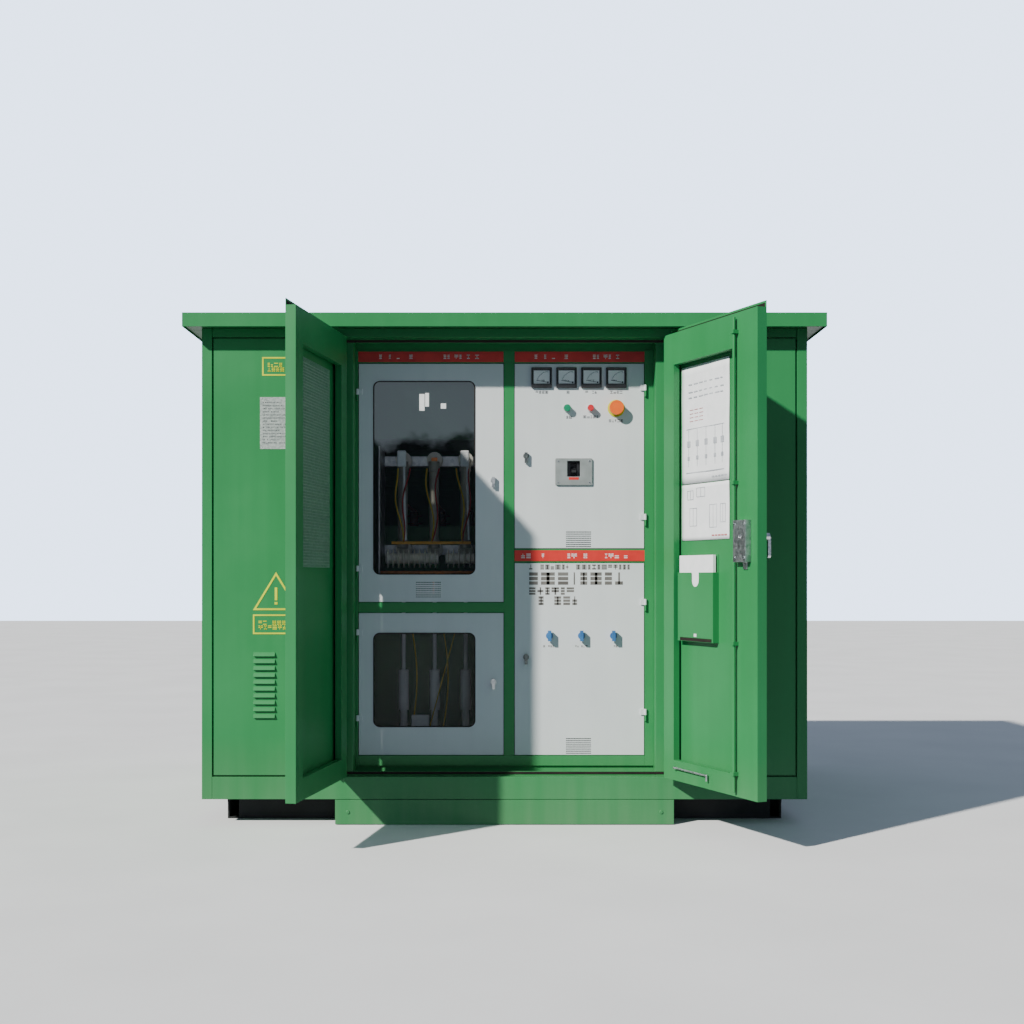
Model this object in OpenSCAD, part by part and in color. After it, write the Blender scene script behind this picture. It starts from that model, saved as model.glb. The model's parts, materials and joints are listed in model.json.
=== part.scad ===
// Pad-mounted transformer kiosk: a steel cabin with a transformer bay behind
// and high and low voltage compartments in front, under one roof.
// The frame is centred on the pad, +Z up, and the front faces -Y.

/* [Enclosure] */
// Width of the cabin body
body_w = 2830; // [2400:10:3400]
// Depth of the cabin body
body_d = 2200; // [2000:50:2600]
// Height of the cabin walls above the skid
wall_h = 2200; // [2000:50:2600]
// Height of the base skid
base_h = 120; // [80:10:200]
// How far the skid stands in from the side walls
skid_inset_x = 86; // [60:2:160]
// How far the skid stands in from the front and back walls
skid_inset_y = 180; // [120:10:240]
// Thickness of the cabin sheet metal
sheet = 3; // [2:0.5:4]
// Width of the square corner posts
post_w = 48; // [40:4:64]
// Height of the bottom rails
sill_h = 105; // [90:5:150]
// Height of the top rails
header_h = 40; // [30:5:60]
// Groove between a wall panel and the frame
panel_gap = 8; // [4:1:12]

/* [Roof] */
// Roof overhang at the two sides
eave_side = 70; // [50:5:150]
// Roof overhang at the front and back
eave_front = 100; // [60:5:200]
// Height of the roof fascia
fascia_h = 65; // [50:5:120]
// How far the fascia hangs below the soffit
fascia_drop = 8; // [4:1:20]
// Rise of the roof ridge above the fascia
roof_rise = 45; // [20:5:90]

/* [Front doors] */
// Width of the front doorway
doorway_w = 1568; // [1400:4:1640]
// Thickness of a front door
door_t = 45; // [35:5:60]
// Running gap round a front door
door_gap = 4; // [3:0.5:6]
// Angle at which the left door stands open
left_open = 99; // [0:1:118]
// Angle at which the right door stands open
right_open = 113; // [0:1:118]
// Width of the door frame at the hinge side
door_stile = 90; // [70:5:120]
// Width of the right door's frame at the free side
door_lock_stile = 165; // [140:5:200]
// Width of the left door's frame at the free side
door_free_stile = 100; // [80:5:160]
// Radius of a door hinge barrel
hinge_r = 10; // [8:1:14]
// Radius of a door hinge pin
hinge_pin_r = 5; // [4:0.5:6]
// Radial running clearance of pins in their bores
pin_clear = 0.05; // [0.02:0.01:0.1]

/* [Switchgear compartments] */
// Recess from the cabin front to the inner doors
recess = 155; // [120:5:240]
// Thickness of an inner door
inner_t = 20; // [16:1:30]
// Width of the right inner doors
lv_door_w = 624; // [560:1:680]
// Width of the mullion between the inner doors
mullion_w = 48; // [36:1:60]
// Width of the left inner stile
stile_left = 12; // [12:1:30]
// Width of the right inner stile
stile_right = 42; // [20:1:60]
// Height of the upper high voltage door
hv_upper_h = 1145; // [900:5:1200]
// Height of the upper low voltage door
lv_upper_h = 888; // [800:4:1000]
// Height of a label strip
strip_h = 52; // [40:2:80]
// Depth of the compartments behind the inner doors
bay_depth = 420; // [380:10:600]
// Width of one panel meter
meter_w = 98; // [72:2:120]
// Spacing of the panel meters
meter_pitch = 119; // [104:1:140]
// Spacing of the feeder knobs
knob_pitch = 153; // [120:1:170]

/* [Transformer] */
// Width of the tank
tank_w = 1240; // [1000:20:1400]
// Depth of the tank
tank_d = 560; // [500:20:700]
// Height of the tank
tank_h = 1020; // [860:20:1200]
// Depth of a cooling fin
fin_d = 110; // [60:5:150]
// Spacing of the cooling fins
fin_pitch = 62; // [45:1:90]

/* [Mounts] */
// How far an anchor bolt stands in from the side of the skid
anchor_inset_x = 108; // [100:2:112]
// How far an anchor bolt stands in from the end of the skid
anchor_inset_y = 120; // [100:5:300]
// Radius of an anchor bolt hole
anchor_r = 11; // [7:0.5:14]
// Radius of a lifting bollard
bollard_r = 28; // [20:1:40]
// Radius of a cable entry hole
cable_r = 55; // [40:1:70]

/* [Hidden] */
$fn = 48;

green = "#4a9a5c";
dark_green = "#3f8450";
steel = "#b8bcc0";
light_grey = "#d6d8d6";
black = "#1c1e1d";
copper = "#b87333";
paper = "#f0f0ec";
weld_gap = 0.5;          // air left between separate sections
seat_gap = 0.4;          // air left between pieces on different bodies

y_front = -body_d / 2;
y_back = body_d / 2;
z_body = base_h;
z_top = base_h + wall_h;
z_sill = z_body + sill_h;
z_head = z_top - header_h;
half_w = body_w / 2;
half_door = doorway_w / 2;
jamb_w = 24;                           // post between doorway and front panel
stop_w = 72;                           // door stop round the doorway
header_set = 4;                        // front top rail set back behind the door lip

// inner doors
y_inner = y_front + recess;
y_inner_back = y_inner + 40;
x_inner = half_door - stop_w;          // outer edge of the inner frame
x_hv = -x_inner + stile_left;
x_lv = x_inner - stile_right - lv_door_w;
x_mull = x_lv - mullion_w;
hv_door_w = x_mull - x_hv;
z_in_top = z_head - 98;
z_in_bottom = z_sill + 80;
inner_gap = 3;
rail_h = 48;
hv_lower_h = z_in_top - hv_upper_h - rail_h - z_in_bottom;
lv_lower_h = z_in_top - lv_upper_h - strip_h - 14 - z_in_bottom;
z_hv_upper = z_in_top - hv_upper_h;
z_lv_upper = z_in_top - lv_upper_h;
z_lv_lower_top = z_in_bottom + lv_lower_h;
y_part = y_inner_back + bay_depth;     // front of the partition wall

// front doors, drawn closed and then swung open about their hinges
hinge_out = 14;                        // hinge axis in front of the cabin face
hinge_side = 6;                        // hinge axis outside the doorway edge
x_hinge = half_door + hinge_side;
y_hinge = y_front - hinge_out;
door_w = half_door - door_gap - 2;
door_h = z_head - z_sill - 2 * door_gap;
z_door = z_sill + door_gap;
door_top_rail = 145;
door_bottom_rail = 92;
hinge_len = 110;
hinge_z = [z_door + 180, z_door + door_h / 2 - hinge_len / 2, z_door + door_h - 350];

module swing_left() translate([-x_hinge, y_hinge, 0]) rotate(-left_open)
  translate([x_hinge, -y_hinge, 0]) children();
module swing_right() translate([x_hinge, y_hinge, 0]) rotate(right_open)
  translate([-x_hinge, -y_hinge, 0]) children();
module mirror_x() { children(); mirror([1, 0, 0]) children(); }
module box(a, b) translate(a) cube(b - a);
module along_y(r, h) rotate([-90, 0, 0]) cylinder(r = r, h = h);
module along_x(r, h) rotate([0, 90, 0]) cylinder(r = r, h = h);

// a square tube between two corners, hollow along the named axis
module tube(a, b, axis, wall = 4) {
  w = [axis == "x" ? -1 : wall, axis == "y" ? -1 : wall, axis == "z" ? -1 : wall];
  difference() {
    box(a, b);
    box(a + w, b - w);
  }
}

// a plate in the XZ plane with round corners
module plate_xz(x, z, y0, t, r) translate([x[0], y0 + t, z[0]]) rotate([90, 0, 0])
  linear_extrude(t) union() {
    translate([r, 0]) square([x[1] - x[0] - 2 * r, z[1] - z[0]]);
    translate([0, r]) square([x[1] - x[0], z[1] - z[0] - 2 * r]);
    for (i = [r, x[1] - x[0] - r], j = [r, z[1] - z[0] - r]) translate([i, j]) circle(r);
  }

// ---- skid -------------------------------------------------------------
skid_x = half_w - skid_inset_x;
skid_y = body_d / 2 - skid_inset_y;
channel_w = 53;
foot = 130;
foot_t = 12;
bollard_len = 45;
bollard_y = skid_y - 260;
anchor_x = 2 * (skid_x - anchor_inset_x);
anchor_y = 2 * (skid_y - anchor_inset_y);
member_w = 50;

module channel(len) linear_extrude(len)       // upright channel, open towards +X
  polygon([[0, 0], [channel_w, 0], [channel_w, 9], [8, 9], [8, base_h - 9],
    [channel_w, base_h - 9], [channel_w, base_h], [0, base_h]]);

module base_frame() color(black) {
  for (s = [0, 180]) rotate(s) {
    translate([-skid_x, skid_y, 0]) rotate([90, 0, 0]) channel(2 * skid_y);
    translate([skid_x - channel_w - weld_gap, skid_y - channel_w, 0])
      translate([0, channel_w, 0]) rotate([90, 0, -90])
      channel(2 * (skid_x - channel_w - weld_gap));
  }
  for (x = [-0.54, 0.54] * skid_x)
    box([x - member_w / 2, -skid_y + channel_w + weld_gap, base_h - 60],
      [x + member_w / 2, skid_y - channel_w - weld_gap, base_h]);
  for (x = [-1, 1] * anchor_x / 2, y = [-1, 1] * anchor_y / 2) difference() {
    translate([x - foot / 2, y - foot / 2, 0]) cube([foot, foot, foot_t]);
    translate([x, y, -1]) cylinder(r = anchor_r, h = foot_t + 2);
  }
  for (x = [-1, 1], y = [-1, 1]) translate([x * (skid_x + weld_gap), y * bollard_y, base_h / 2])
    rotate([0, x * 90, 0]) {
      cylinder(r = bollard_r, h = bollard_len);
      translate([0, 0, bollard_len - 10]) cylinder(r = bollard_r + 12, h = 10);
    }
}

plinth_half = half_door + 8;
module plinth_cover() color(green) {
  difference() {
    box([-plinth_half, y_front, 3], [plinth_half, y_front + 60, base_h - 2]);
    box([-plinth_half + sheet, y_front + sheet, 3 + sheet],
      [plinth_half - sheet, y_front + 61, base_h - 2 - sheet]);
  }
  for (x = [-1, 1] * (plinth_half - 60))
    translate([x, y_front - 4, base_h / 2]) along_y(8, 4);
}

floor_t = 4;
hv_phase = 155;
hv_mid = x_hv + hv_door_w / 2 + 1;
hv_x = [for (i = [-1:1]) hv_mid + i * hv_phase];
lv_cable_x = [for (i = [-1:1]) x_lv + lv_door_w / 2 + i * hv_phase];
hv_y = y_part - 210;                     // plane of the fuses
cable_y = hv_y + 60;
module floor_pan() color(dark_green) difference() {
  box([-half_w + 60, y_front + 60, z_body], [half_w - 60, y_back - 60, z_body + floor_t]);
  for (x = concat(hv_x, lv_cable_x)) translate([x, cable_y, z_body - 1])
    cylinder(r = cable_r, h = floor_t + 2);
}

// ---- cabin frame ------------------------------------------------------
rear_jamb = 40;
module body_frame() color(green) {
  for (x = [-half_w, half_w - post_w], y = [y_front, y_back - post_w])
    tube([x, y, z_body], [x + post_w, y + post_w, z_top], "z");
  x_in = half_w - post_w - weld_gap;
  for (y = [y_front, y_back - post_w]) {
    tube([-x_in, y, z_body], [x_in, y + post_w, z_sill], "x");
    tube([-x_in, y + (y < 0 ? header_set : 0), z_head], [x_in, y + post_w, z_top], "x");
  }
  y_in = body_d / 2 - post_w - weld_gap;
  for (x = [-half_w, half_w - post_w]) {
    tube([x, -y_in, z_body], [x + post_w, y_in, z_sill], "y");
    tube([x, -y_in, z_head], [x + post_w, y_in, z_top], "y");
  }
  z0 = z_sill + weld_gap;
  z1 = z_head - weld_gap;
  mirror_x() {
    tube([half_door, y_front, z0], [half_door + jamb_w, y_front + post_w, z1], "z", 3);
    box([half_door - stop_w, y_front + post_w + weld_gap, z_sill - 10],
      [half_door + jamb_w, y_front + post_w + weld_gap + 3, z_head + 10]);
  }
  for (z = [[z_sill - 10, z_sill + 20], [z_head - 20, z_head + 10]])
    box([-half_door + stop_w + weld_gap, y_front + post_w + weld_gap, z[0]],
      [half_door - stop_w - weld_gap, y_front + post_w + weld_gap + 3, z[1]]);
  tube([-rear_jamb / 2, y_back - post_w, z0], [rear_jamb / 2, y_back, z1], "z", 3);
}

// a pressed louvre: the hood stands out of the face towards -Y over a slot
louvre_pitch = 32;
module hood(w) rotate([90, 0, 90]) linear_extrude(w)
  polygon([[0, 0], [-11, 0], [-11, 3], [-2, 19], [0, 19]]);
module slot(w) translate([4, -0.5, 1]) cube([w - 8, sheet + 1, 7]);

// one wall panel in the XZ plane, its outside face at y = 0 and facing -Y
module wall_panel(w, h, banks, bank_w, bank_z, rows) {
  difference() {
    union() {
      translate([panel_gap, 0, panel_gap]) cube([w - 2 * panel_gap, 20, h - 2 * panel_gap]);
      translate([weld_gap, 20 - sheet, weld_gap])
        cube([w - 2 * weld_gap, sheet, h - 2 * weld_gap]);
    }
    translate([panel_gap + sheet, sheet, panel_gap + sheet])
      cube([w - 2 * (panel_gap + sheet), 20, h - 2 * (panel_gap + sheet)]);
    for (x = banks, z = bank_z, i = [0:rows - 1])
      translate([x - bank_w / 2, 0, z + i * louvre_pitch]) slot(bank_w);
  }
  for (x = banks, z = bank_z, i = [0:rows - 1])
    translate([x - bank_w / 2, 0, z + i * louvre_pitch]) hood(bank_w);
}

z_panel = z_sill;
panel_h = z_head - z_sill;
front_panel_w = half_w - post_w - half_door - jamb_w;
front_louvre_w = 100;
module front_panel() translate([-half_w + post_w, y_front, z_panel])
  wall_panel(front_panel_w, panel_h, [245], front_louvre_w, [275], 10);
module front_panels() color(green) mirror_x() front_panel();

side_w = body_d - 2 * post_w;
module side_panels() color(green) mirror_x()
  translate([-half_w, body_d / 2 - post_w, z_panel]) rotate(-90)
  wall_panel(side_w, panel_h, [side_w * 0.3, side_w * 0.7], 420, [180, panel_h - 560], 10);

rear_w = half_w - post_w - rear_jamb / 2;
module rear_panels() color(green) mirror_x()
  translate([half_w - post_w, y_back, z_panel]) rotate(180)
  wall_panel(rear_w, panel_h, [rear_w * 0.5], 760, [180, panel_h - 620], 12);

// ---- roof -------------------------------------------------------------
roof_x = half_w + eave_side;
roof_y = body_d / 2 + eave_front;
z_eave = z_top - fascia_drop;
z_roof = z_eave + fascia_h;
roof_t = 2.5;
module roof_profile(inset) polygon([[-roof_y + inset, z_eave], [roof_y - inset, z_eave],
  [roof_y - inset, z_roof - inset], [0, z_roof + roof_rise - inset], [-roof_y + inset, z_roof - inset]]);
module roof_shell() color(green) {
  difference() {
    translate([-roof_x, 0, 0]) rotate([90, 0, 90]) linear_extrude(2 * roof_x) roof_profile(0);
    translate([-roof_x + roof_t, 0, -1]) rotate([90, 0, 90])
      linear_extrude(2 * (roof_x - roof_t)) roof_profile(roof_t);
    box([-roof_x + roof_t, -roof_y + roof_t, z_eave - 1], [roof_x - roof_t, roof_y - roof_t, z_eave + 5]);
  }
}

module roof_frame() color(dark_green) {
  g = roof_t + 1;
  lip = half_w - post_w;
  lip_y = body_d / 2 - post_w;
  for (s = [-1, 1]) {
    box([-roof_x + g, min(s * lip_y, s * (roof_y - g)), z_top + weld_gap],
      [roof_x - g, max(s * lip_y, s * (roof_y - g)), z_top + weld_gap + sheet]);
    box([min(s * lip, s * (roof_x - g)), -lip_y + weld_gap, z_top + weld_gap],
      [max(s * lip, s * (roof_x - g)), lip_y - weld_gap, z_top + weld_gap + sheet]);
  }
  for (x = [-1, 0, 1] * (half_w * 0.6)) translate([x - 20, 0, 0]) rotate([90, 0, 90]) linear_extrude(40)
    polygon([[-roof_y + 40, z_top + 8], [roof_y - 40, z_top + 8], [roof_y - 40, z_roof - 12],
      [0, z_roof + roof_rise - 12], [-roof_y + 40, z_roof - 12]]);
}

// ---- partition between the transformer bay and the switchgear ---------
cover_t = 8;
z_tank = z_body + floor_t + 70;
z_cover = z_tank + tank_h;
z_bush = z_cover + weld_gap + cover_t;
hv_bush_h = 300;
lv_bush_h = 220;
lv_bar_z = z_bush + lv_bush_h + seat_gap;
hv_bar_z = z_bush + hv_bush_h + seat_gap;
pass_z = [lv_bar_z - 23, hv_bar_z + 337];
hv_pass = [hv_x[0] - 135, hv_x[2] + 113];
lv_pass = [x_lv + 60, x_lv + lv_door_w - 60];
module partition_wall() color(dark_green) {
  x = half_w - post_w - 4;
  edges = [-x, hv_pass[0], hv_pass[1], lv_pass[0], lv_pass[1], x];
  y1 = y_part + sheet;
  box([-x, y_part, z_body + floor_t + 1], [x, y1, pass_z[0] - weld_gap]);
  for (i = [0, 2, 4]) box([edges[i], y_part, pass_z[0]], [edges[i + 1], y1, pass_z[1]]);
  box([-x, y_part, pass_z[1] + weld_gap], [x, y1, z_top - 2]);
}

// ---- inner frame and its reveal ---------------------------------------
module inner_frame() color(green) {
  y0 = y_inner;
  y1 = y_inner_back;
  z0 = z_in_bottom - 48;
  z1 = z_in_top + 62;
  g = weld_gap;
  x_r = x_lv + lv_door_w;
  tube([-x_inner, y0, z0], [x_hv, y1, z1], "z", 2);
  tube([x_r, y0, z0], [x_inner, y1, z1], "z", 2);
  tube([x_mull, y0, z_in_bottom + g], [x_lv, y1, z_in_top - g], "z", 2);
  tube([x_hv + g, y0, z0], [x_r - g, y1, z_in_bottom], "x", 2);
  tube([x_hv + g, y0 + 6, z_in_top], [x_r - g, y1, z1], "x", 2);
  tube([x_hv + g, y0, z_in_bottom + hv_lower_h], [x_mull - g, y1, z_hv_upper], "x", 2);
  tube([x_lv + g, y0 + 6, z_lv_lower_top], [x_r - g, y1, z_lv_upper], "x", 2);
  // reveal sheets from the door stop back to the inner frame
  y_stop = y_front + post_w + 3 + 2 * g;
  for (s = [-1, 1]) box([min(s * x_inner, s * (x_inner + 2)) + s * g, y_stop, z_sill - 8],
    [max(s * x_inner, s * (x_inner + 2)) + s * g, y1, z_head + 8]);
  box([-x_inner, y_stop, z_sill - 8], [x_inner, y1, z_sill - 6]);
  box([-x_inner, y_stop, z_head + 6], [x_inner, y1, z_head + 8]);
  box([-x_inner, y0 + 12, z_sill - 5], [x_inner, y0 + 14, z0 - g]);
  box([-x_inner, y0 + 12, z1 + g], [x_inner, y0 + 14, z_head + 5]);
  // fixed halves of the inner door hinges, with their pins
  for (z = hv_hinge_z) translate([x_hv - 4, y_inner - inner_hinge_out, z]) inner_hinge_fixed(1);
  for (z = lv_hinge_z) translate([x_r + 4, y_inner - inner_hinge_out, z]) inner_hinge_fixed(-1);
}

inner_hinge_out = 7;
inner_hinge_r = 5.5;
inner_pin_r = 2.5;
inner_hinge_len = 28;
leaf_w = 7;
hv_hinge_z = [z_in_bottom + hv_lower_h * 0.2, z_in_bottom + hv_lower_h * 0.8,
  z_hv_upper + 120, z_in_top - 180];
lv_hinge_z = [z_in_bottom + lv_lower_h * 0.18, z_in_bottom + lv_lower_h * 0.75,
  z_lv_upper + 110, z_in_top - 160];
module inner_hinge_fixed(s) {
  cylinder(r = inner_hinge_r, h = inner_hinge_len);
  cylinder(r = inner_pin_r, h = 2 * inner_hinge_len - 2);
  translate([s > 0 ? -leaf_w : 0, 0, 0]) cube([leaf_w, inner_hinge_out + 1, inner_hinge_len]);
}
// the moving half, above the fixed one, with a leaf on the door's face
module inner_hinge_moving(s) difference() {
  union() {
    translate([0, 0, inner_hinge_len + seat_gap]) cylinder(r = inner_hinge_r, h = inner_hinge_len);
    translate([s > 0 ? 0 : -24, 2, inner_hinge_len + seat_gap]) cube([24, 4, inner_hinge_len]);
    translate([s > 0 ? 10 : -24, 5, inner_hinge_len + seat_gap]) cube([14, 5, inner_hinge_len]);
  }
  translate([0, 0, -1]) cylinder(r = inner_pin_r + pin_clear, h = 3 * inner_hinge_len);
}

// ---- labels -----------------------------------------------------------
plate_mid = -half_w + post_w + 299;       // middle of the plates on the left wall panel
module labels() {
  color("#c8362f") for (x = [[x_hv, x_mull], [x_lv, x_lv + lv_door_w]])
    box([x[0] + 4, y_inner + 3, z_in_top + 6], [x[1] - 4, y_inner + 5, z_in_top + 6 + strip_h - 2]);
  color("#c8362f") box([x_lv + 2, y_inner + 3, z_lv_upper - 7 - strip_h],
    [x_lv + lv_door_w - 2, y_inner + 5, z_lv_upper - 7]);
  // rating plate, name plate, warning triangle and its caption on the left wall panel
  y = [y_front - 1.5, y_front - 0.1];
  color(steel) box([plate_mid - 75, y[0], z_head - 523], [plate_mid + 75, y[1], z_head - 280]);
  color("#d8d33a") {
    box([plate_mid - 65, y[0], z_head - 180], [plate_mid + 65, y[1], z_head - 93]);
    translate([plate_mid, y[1], z_body + 884]) rotate([90, 0, 0]) linear_extrude(y[1] - y[0])
      polygon([[-108, 0], [108, 0], [0, 178]]);
    box([plate_mid - 108, y[0], z_body + 772], [plate_mid + 108, y[1], z_body + 864]);
  }
}

gasket = 8;
module door_gasket() color(black) {
  y0 = y_front + door_t + 0.6;
  y1 = y_front + post_w + weld_gap - 0.1;
  for (s = [-1, 1]) box([s * (half_door - 22) - gasket, y0, z_sill + 12],
    [s * (half_door - 22) + gasket, y1, z_head - 12]);
  for (z = [z_sill + 6, z_head - 18])
    box([-half_door + 22 + gasket + weld_gap, y0, z], [half_door - 22 - gasket - weld_gap, y1, z + 12]);
}

// ---- front door hinges ------------------------------------------------
module hinge_fixed() {
  cylinder(r = hinge_r, h = hinge_len / 2);
  cylinder(r = hinge_pin_r, h = hinge_len - 4);
  translate([-30, hinge_out - 4 - seat_gap, 0]) cube([30 + 4, 4, hinge_len / 2]);
  translate([-10, 0, 0]) cube([6, hinge_out - seat_gap, hinge_len / 2]);
}
module hinge_moving() difference() {
  union() {
    translate([0, 0, hinge_len / 2 + seat_gap]) cylinder(r = hinge_r, h = hinge_len / 2);
    translate([0, hinge_r - 6, hinge_len / 2 + seat_gap]) cube([44, 4, hinge_len / 2]);
    translate([hinge_side + door_gap + 3, hinge_r - 2, hinge_len / 2 + seat_gap])
      cube([29, hinge_out - hinge_r + 3, hinge_len / 2]);
  }
  translate([0, 0, -1]) cylinder(r = hinge_pin_r + pin_clear, h = 2 * hinge_len);
}
module frame_hinges() color(steel) mirror_x()
  for (z = hinge_z) translate([-x_hinge, y_hinge, z]) hinge_fixed();

// ---- front doors, drawn closed ----------------------------------------
lip_return = 30;
door_lip = 28;                      // the skin laps the top rail by this much
module door_pan(w, h, free) {       // hinge edge at x = 0, outside face at y = 0
  a = [door_stile, door_bottom_rail];
  b = [w - free, h - door_top_rail];
  difference() {
    union() {
      cube([w, door_t, h]);
      cube([w, sheet, h + door_lip]);
    }
    translate([sheet, sheet, sheet]) cube([w - 2 * sheet, door_t - 2 * sheet, h - 2 * sheet]);
    box([a[0], sheet + 1, a[1]], [b[0], door_t + 1, b[1]]);
  }
  difference() {
    box([a[0] - sheet, door_t - lip_return, a[1] - sheet], [b[0] + sheet, door_t, b[1] + sheet]);
    box([a[0], door_t - lip_return - 1, a[1]], [b[0], door_t + 1, b[1]]);
  }
}

x_leaf = half_door - door_gap;      // hinge edge of a closed door
vent_w = [door_stile + 105, door_w - door_free_stile - 38];  // from the hinge edge
vent_h = [door_h - 1077, door_h - 180];
hood_w = vent_w[1] - vent_w[0] - 45;
mesh_cols = floor((vent_w[1] - vent_w[0] - 10) / 48);
mesh_rows = floor((vent_h[1] - vent_h[0] - 20) / 51);
module left_leaf() translate([-x_leaf, y_front, z_door]) children();
module right_leaf() translate([x_leaf, y_front, z_door]) mirror([1, 0, 0]) children();

module door_left_shell() color(green) swing_left() {
  left_leaf() difference() {
    union() {
      door_pan(door_w, door_h, door_free_stile);
      for (i = [0:20]) translate([vent_w[0] + 20, 0, vent_h[0] + 30 + i * 40]) hood(hood_w);
    }
    for (i = [0:20]) translate([vent_w[0] + 20, 0, vent_h[0] + 30 + i * 40]) slot(hood_w);
  }
  for (z = hinge_z) translate([-x_hinge, y_hinge, z]) hinge_moving();
}

mesh_t = 2;
module door_left_mesh() color(dark_green) swing_left() left_leaf()
  translate([0, door_t - lip_return - mesh_t - 4, 0]) difference() {
    box([vent_w[0] - 26, 0, vent_h[0]], [vent_w[1] + 10, mesh_t, vent_h[1]]);
    for (i = [0:mesh_cols - 1], j = [0:mesh_rows - 1])
      translate([vent_w[0] + 4 + i * 48, -1, vent_h[0] + 16 + j * 51])
      cube([40, mesh_t + 2, 42]);
  }

rod_x = door_w - door_lock_stile + 9;         // lock rods, from the hinge edge
rod_r = 7;
rod_out = 15;                                 // rod centre in front of the door's inner face
rod_end = 20;                                 // rod ends inside the door's height
lock_z = 1080;                                // middle of the lock above the door's foot
guide_z = [90, 640, lock_z + 240, door_h - 90];
lock_x = door_w - door_lock_stile + 25;
handle_x = lock_x + 52;
spindle_z = lock_z + 20;
module door_right_shell() color(green) swing_right() {
  difference() {
    right_leaf() door_pan(door_w, door_h, door_lock_stile);
    right_leaf() translate([handle_x, -1, spindle_z]) rotate([-90, 0, 0])
      cylinder(r = 9.3, h = door_t + 2);
  }
  mirror([1, 0, 0]) for (z = hinge_z) translate([-x_hinge, y_hinge, z]) hinge_moving();
  right_leaf() for (z = guide_z) translate([rod_x, door_t, z]) difference() {
    translate([-13, -1, 0]) cube([26, rod_out + 12, 16]);
    translate([0, rod_out, -1]) cylinder(r = rod_r + pin_clear, h = 18);
  }
}

sheet_z = [door_h - 947, door_h - 702, door_h - 167];  // foot, fold and top of the drawings
module drawing_sheets() color(paper) swing_right() right_leaf() {
  y = [sheet + 0.2, sheet + 0.8];
  for (z = [[sheet_z[0], sheet_z[1]], [sheet_z[1] + 5, sheet_z[2]]])
    box([102, y[0], z[0]], [490, y[1], z[1]]);
  box([pocket_x[0] + 8, sheet + 9, pocket_z[0] + 20], [pocket_x[1] - 8, sheet + 12, pocket_z[1] - 3]);
}

pocket_d = 30;
pocket_x = [106, 410];
pocket_z = [door_h - 1407, door_h - 1017];
pocket_front = pocket_z[1] - 80;    // top of the pocket's front sheet
notch_r = 32;
module document_pocket() color(green) swing_right() right_leaf() translate([0, sheet + 0.2, 0]) {
  x = pocket_x;
  z = pocket_z;
  difference() {
    box([x[0], 0, z[0]], [x[1], pocket_d, pocket_front]);
    box([x[0] + 2, 2, z[0] + 2], [x[1] - 2, pocket_d - 2, pocket_front + 1]);
    mid = (x[0] + x[1]) / 2;
    box([mid - notch_r, 5, pocket_front - notch_r], [mid + notch_r, pocket_d + 1, pocket_front + 1]);
    translate([mid, 5, pocket_front - notch_r]) along_y(notch_r, pocket_d);
  }
  box([x[0], 0, pocket_front - 1], [x[1], 2, z[1]]);
}

module lock_case() color(steel) swing_right() right_leaf() {
  difference() {
    union() {
      box([lock_x, door_t + seat_gap, lock_z - 88], [lock_x + 93, door_t + 30, lock_z + 88]);
      translate([lock_x + 40, door_t + seat_gap, lock_z - 118]) cube([30, 6, 30]);
    }
    translate([handle_x, 0, spindle_z]) along_y(9.3, 200);
  }
  for (z = [-70, 0, 70]) translate([lock_x - 6, door_t + seat_gap, lock_z + z - 8]) cube([6, 12, 16]);
}

handle_rise = 50;                   // the grip's stand-off from the door's face
grip_len = 80;
module door_handle() color(steel) swing_right() right_leaf()
  translate([handle_x, 0, spindle_z]) {
    translate([0, -handle_rise, 0]) along_y(9, handle_rise + door_t + 22);
    translate([0, -handle_rise - 16, 0]) along_y(17, 20);
    translate([-12, -handle_rise - 22, -grip_len]) cube([24, 14, grip_len]);
    translate([0, -handle_rise - 22, -grip_len]) along_y(12, 14);
  }

module lock_rod(a, b) swing_right() right_leaf() translate([rod_x, door_t + rod_out, a])
  cylinder(r = rod_r, h = b - a);
module lock_rod_upper() color(steel) lock_rod(lock_z + 30, door_h - rod_end);
module lock_rod_lower() color(steel) lock_rod(rod_end, lock_z - 30);

stay_x = 118;                       // stay pivot, from the hinge edge
stay_z = 60;
stay_len = 280;
stay_r = 4;
module stay_rod() color(steel) swing_right() right_leaf()
  translate([stay_x, door_t + seat_gap, stay_z]) {
    along_y(stay_r + 1.5, 18);
    translate([0, 12, 0]) along_x(stay_r, stay_len);
    translate([stay_len - 1, 12, -24]) cylinder(r = stay_r + 1, h = 29);
  }

// ---- inner doors ------------------------------------------------------
y_skin = y_inner + 2;
module inner_pan(x, z, w, h) {
  g = inner_gap;
  difference() {
    box([x + g, y_skin, z + g], [x + w - g, y_skin + inner_t, z + h - g]);
    box([x + g + 2, y_skin + 2, z + g + 2], [x + w - g - 2, y_skin + inner_t + 1, z + h - g - 2]);
  }
}
vent_slots = 8;
module vent_cuts(x, z) for (i = [0:vent_slots - 1])
  box([x - 60, y_skin - 1, z + i * 10], [x + 60, y_skin + 3, z + i * 10 + 4.5]);
module latch_hole(x, z) translate([x, y_skin - 1, z]) along_y(8 + pin_clear, 4);
window_x = [74, hv_door_w - 140];   // window edges, from the door's left edge
window_r = 30;
upper_window_z = [136, hv_upper_h - 87];
lower_window_z = [138, hv_lower_h - 99];
module hv_pan(z, h, wz) difference() {
  inner_pan(x_hv, z, hv_door_w, h);
  plate_xz([x_hv + window_x[0], x_hv + window_x[1]], [z + wz[0], z + wz[1]], y_skin - 1, 4, window_r);
}
module hv_pane(z, wz) color([0.3, 0.35, 0.38, 0.4])
  box([x_hv + window_x[0] - 12, y_skin + 2.2, z + wz[0] - 12],
    [x_hv + window_x[1] + 12, y_skin + 7, z + wz[1] + 12]);
latch_hv_x = x_mull - 51;
latch_lv_x = x_lv + 57;
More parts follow.
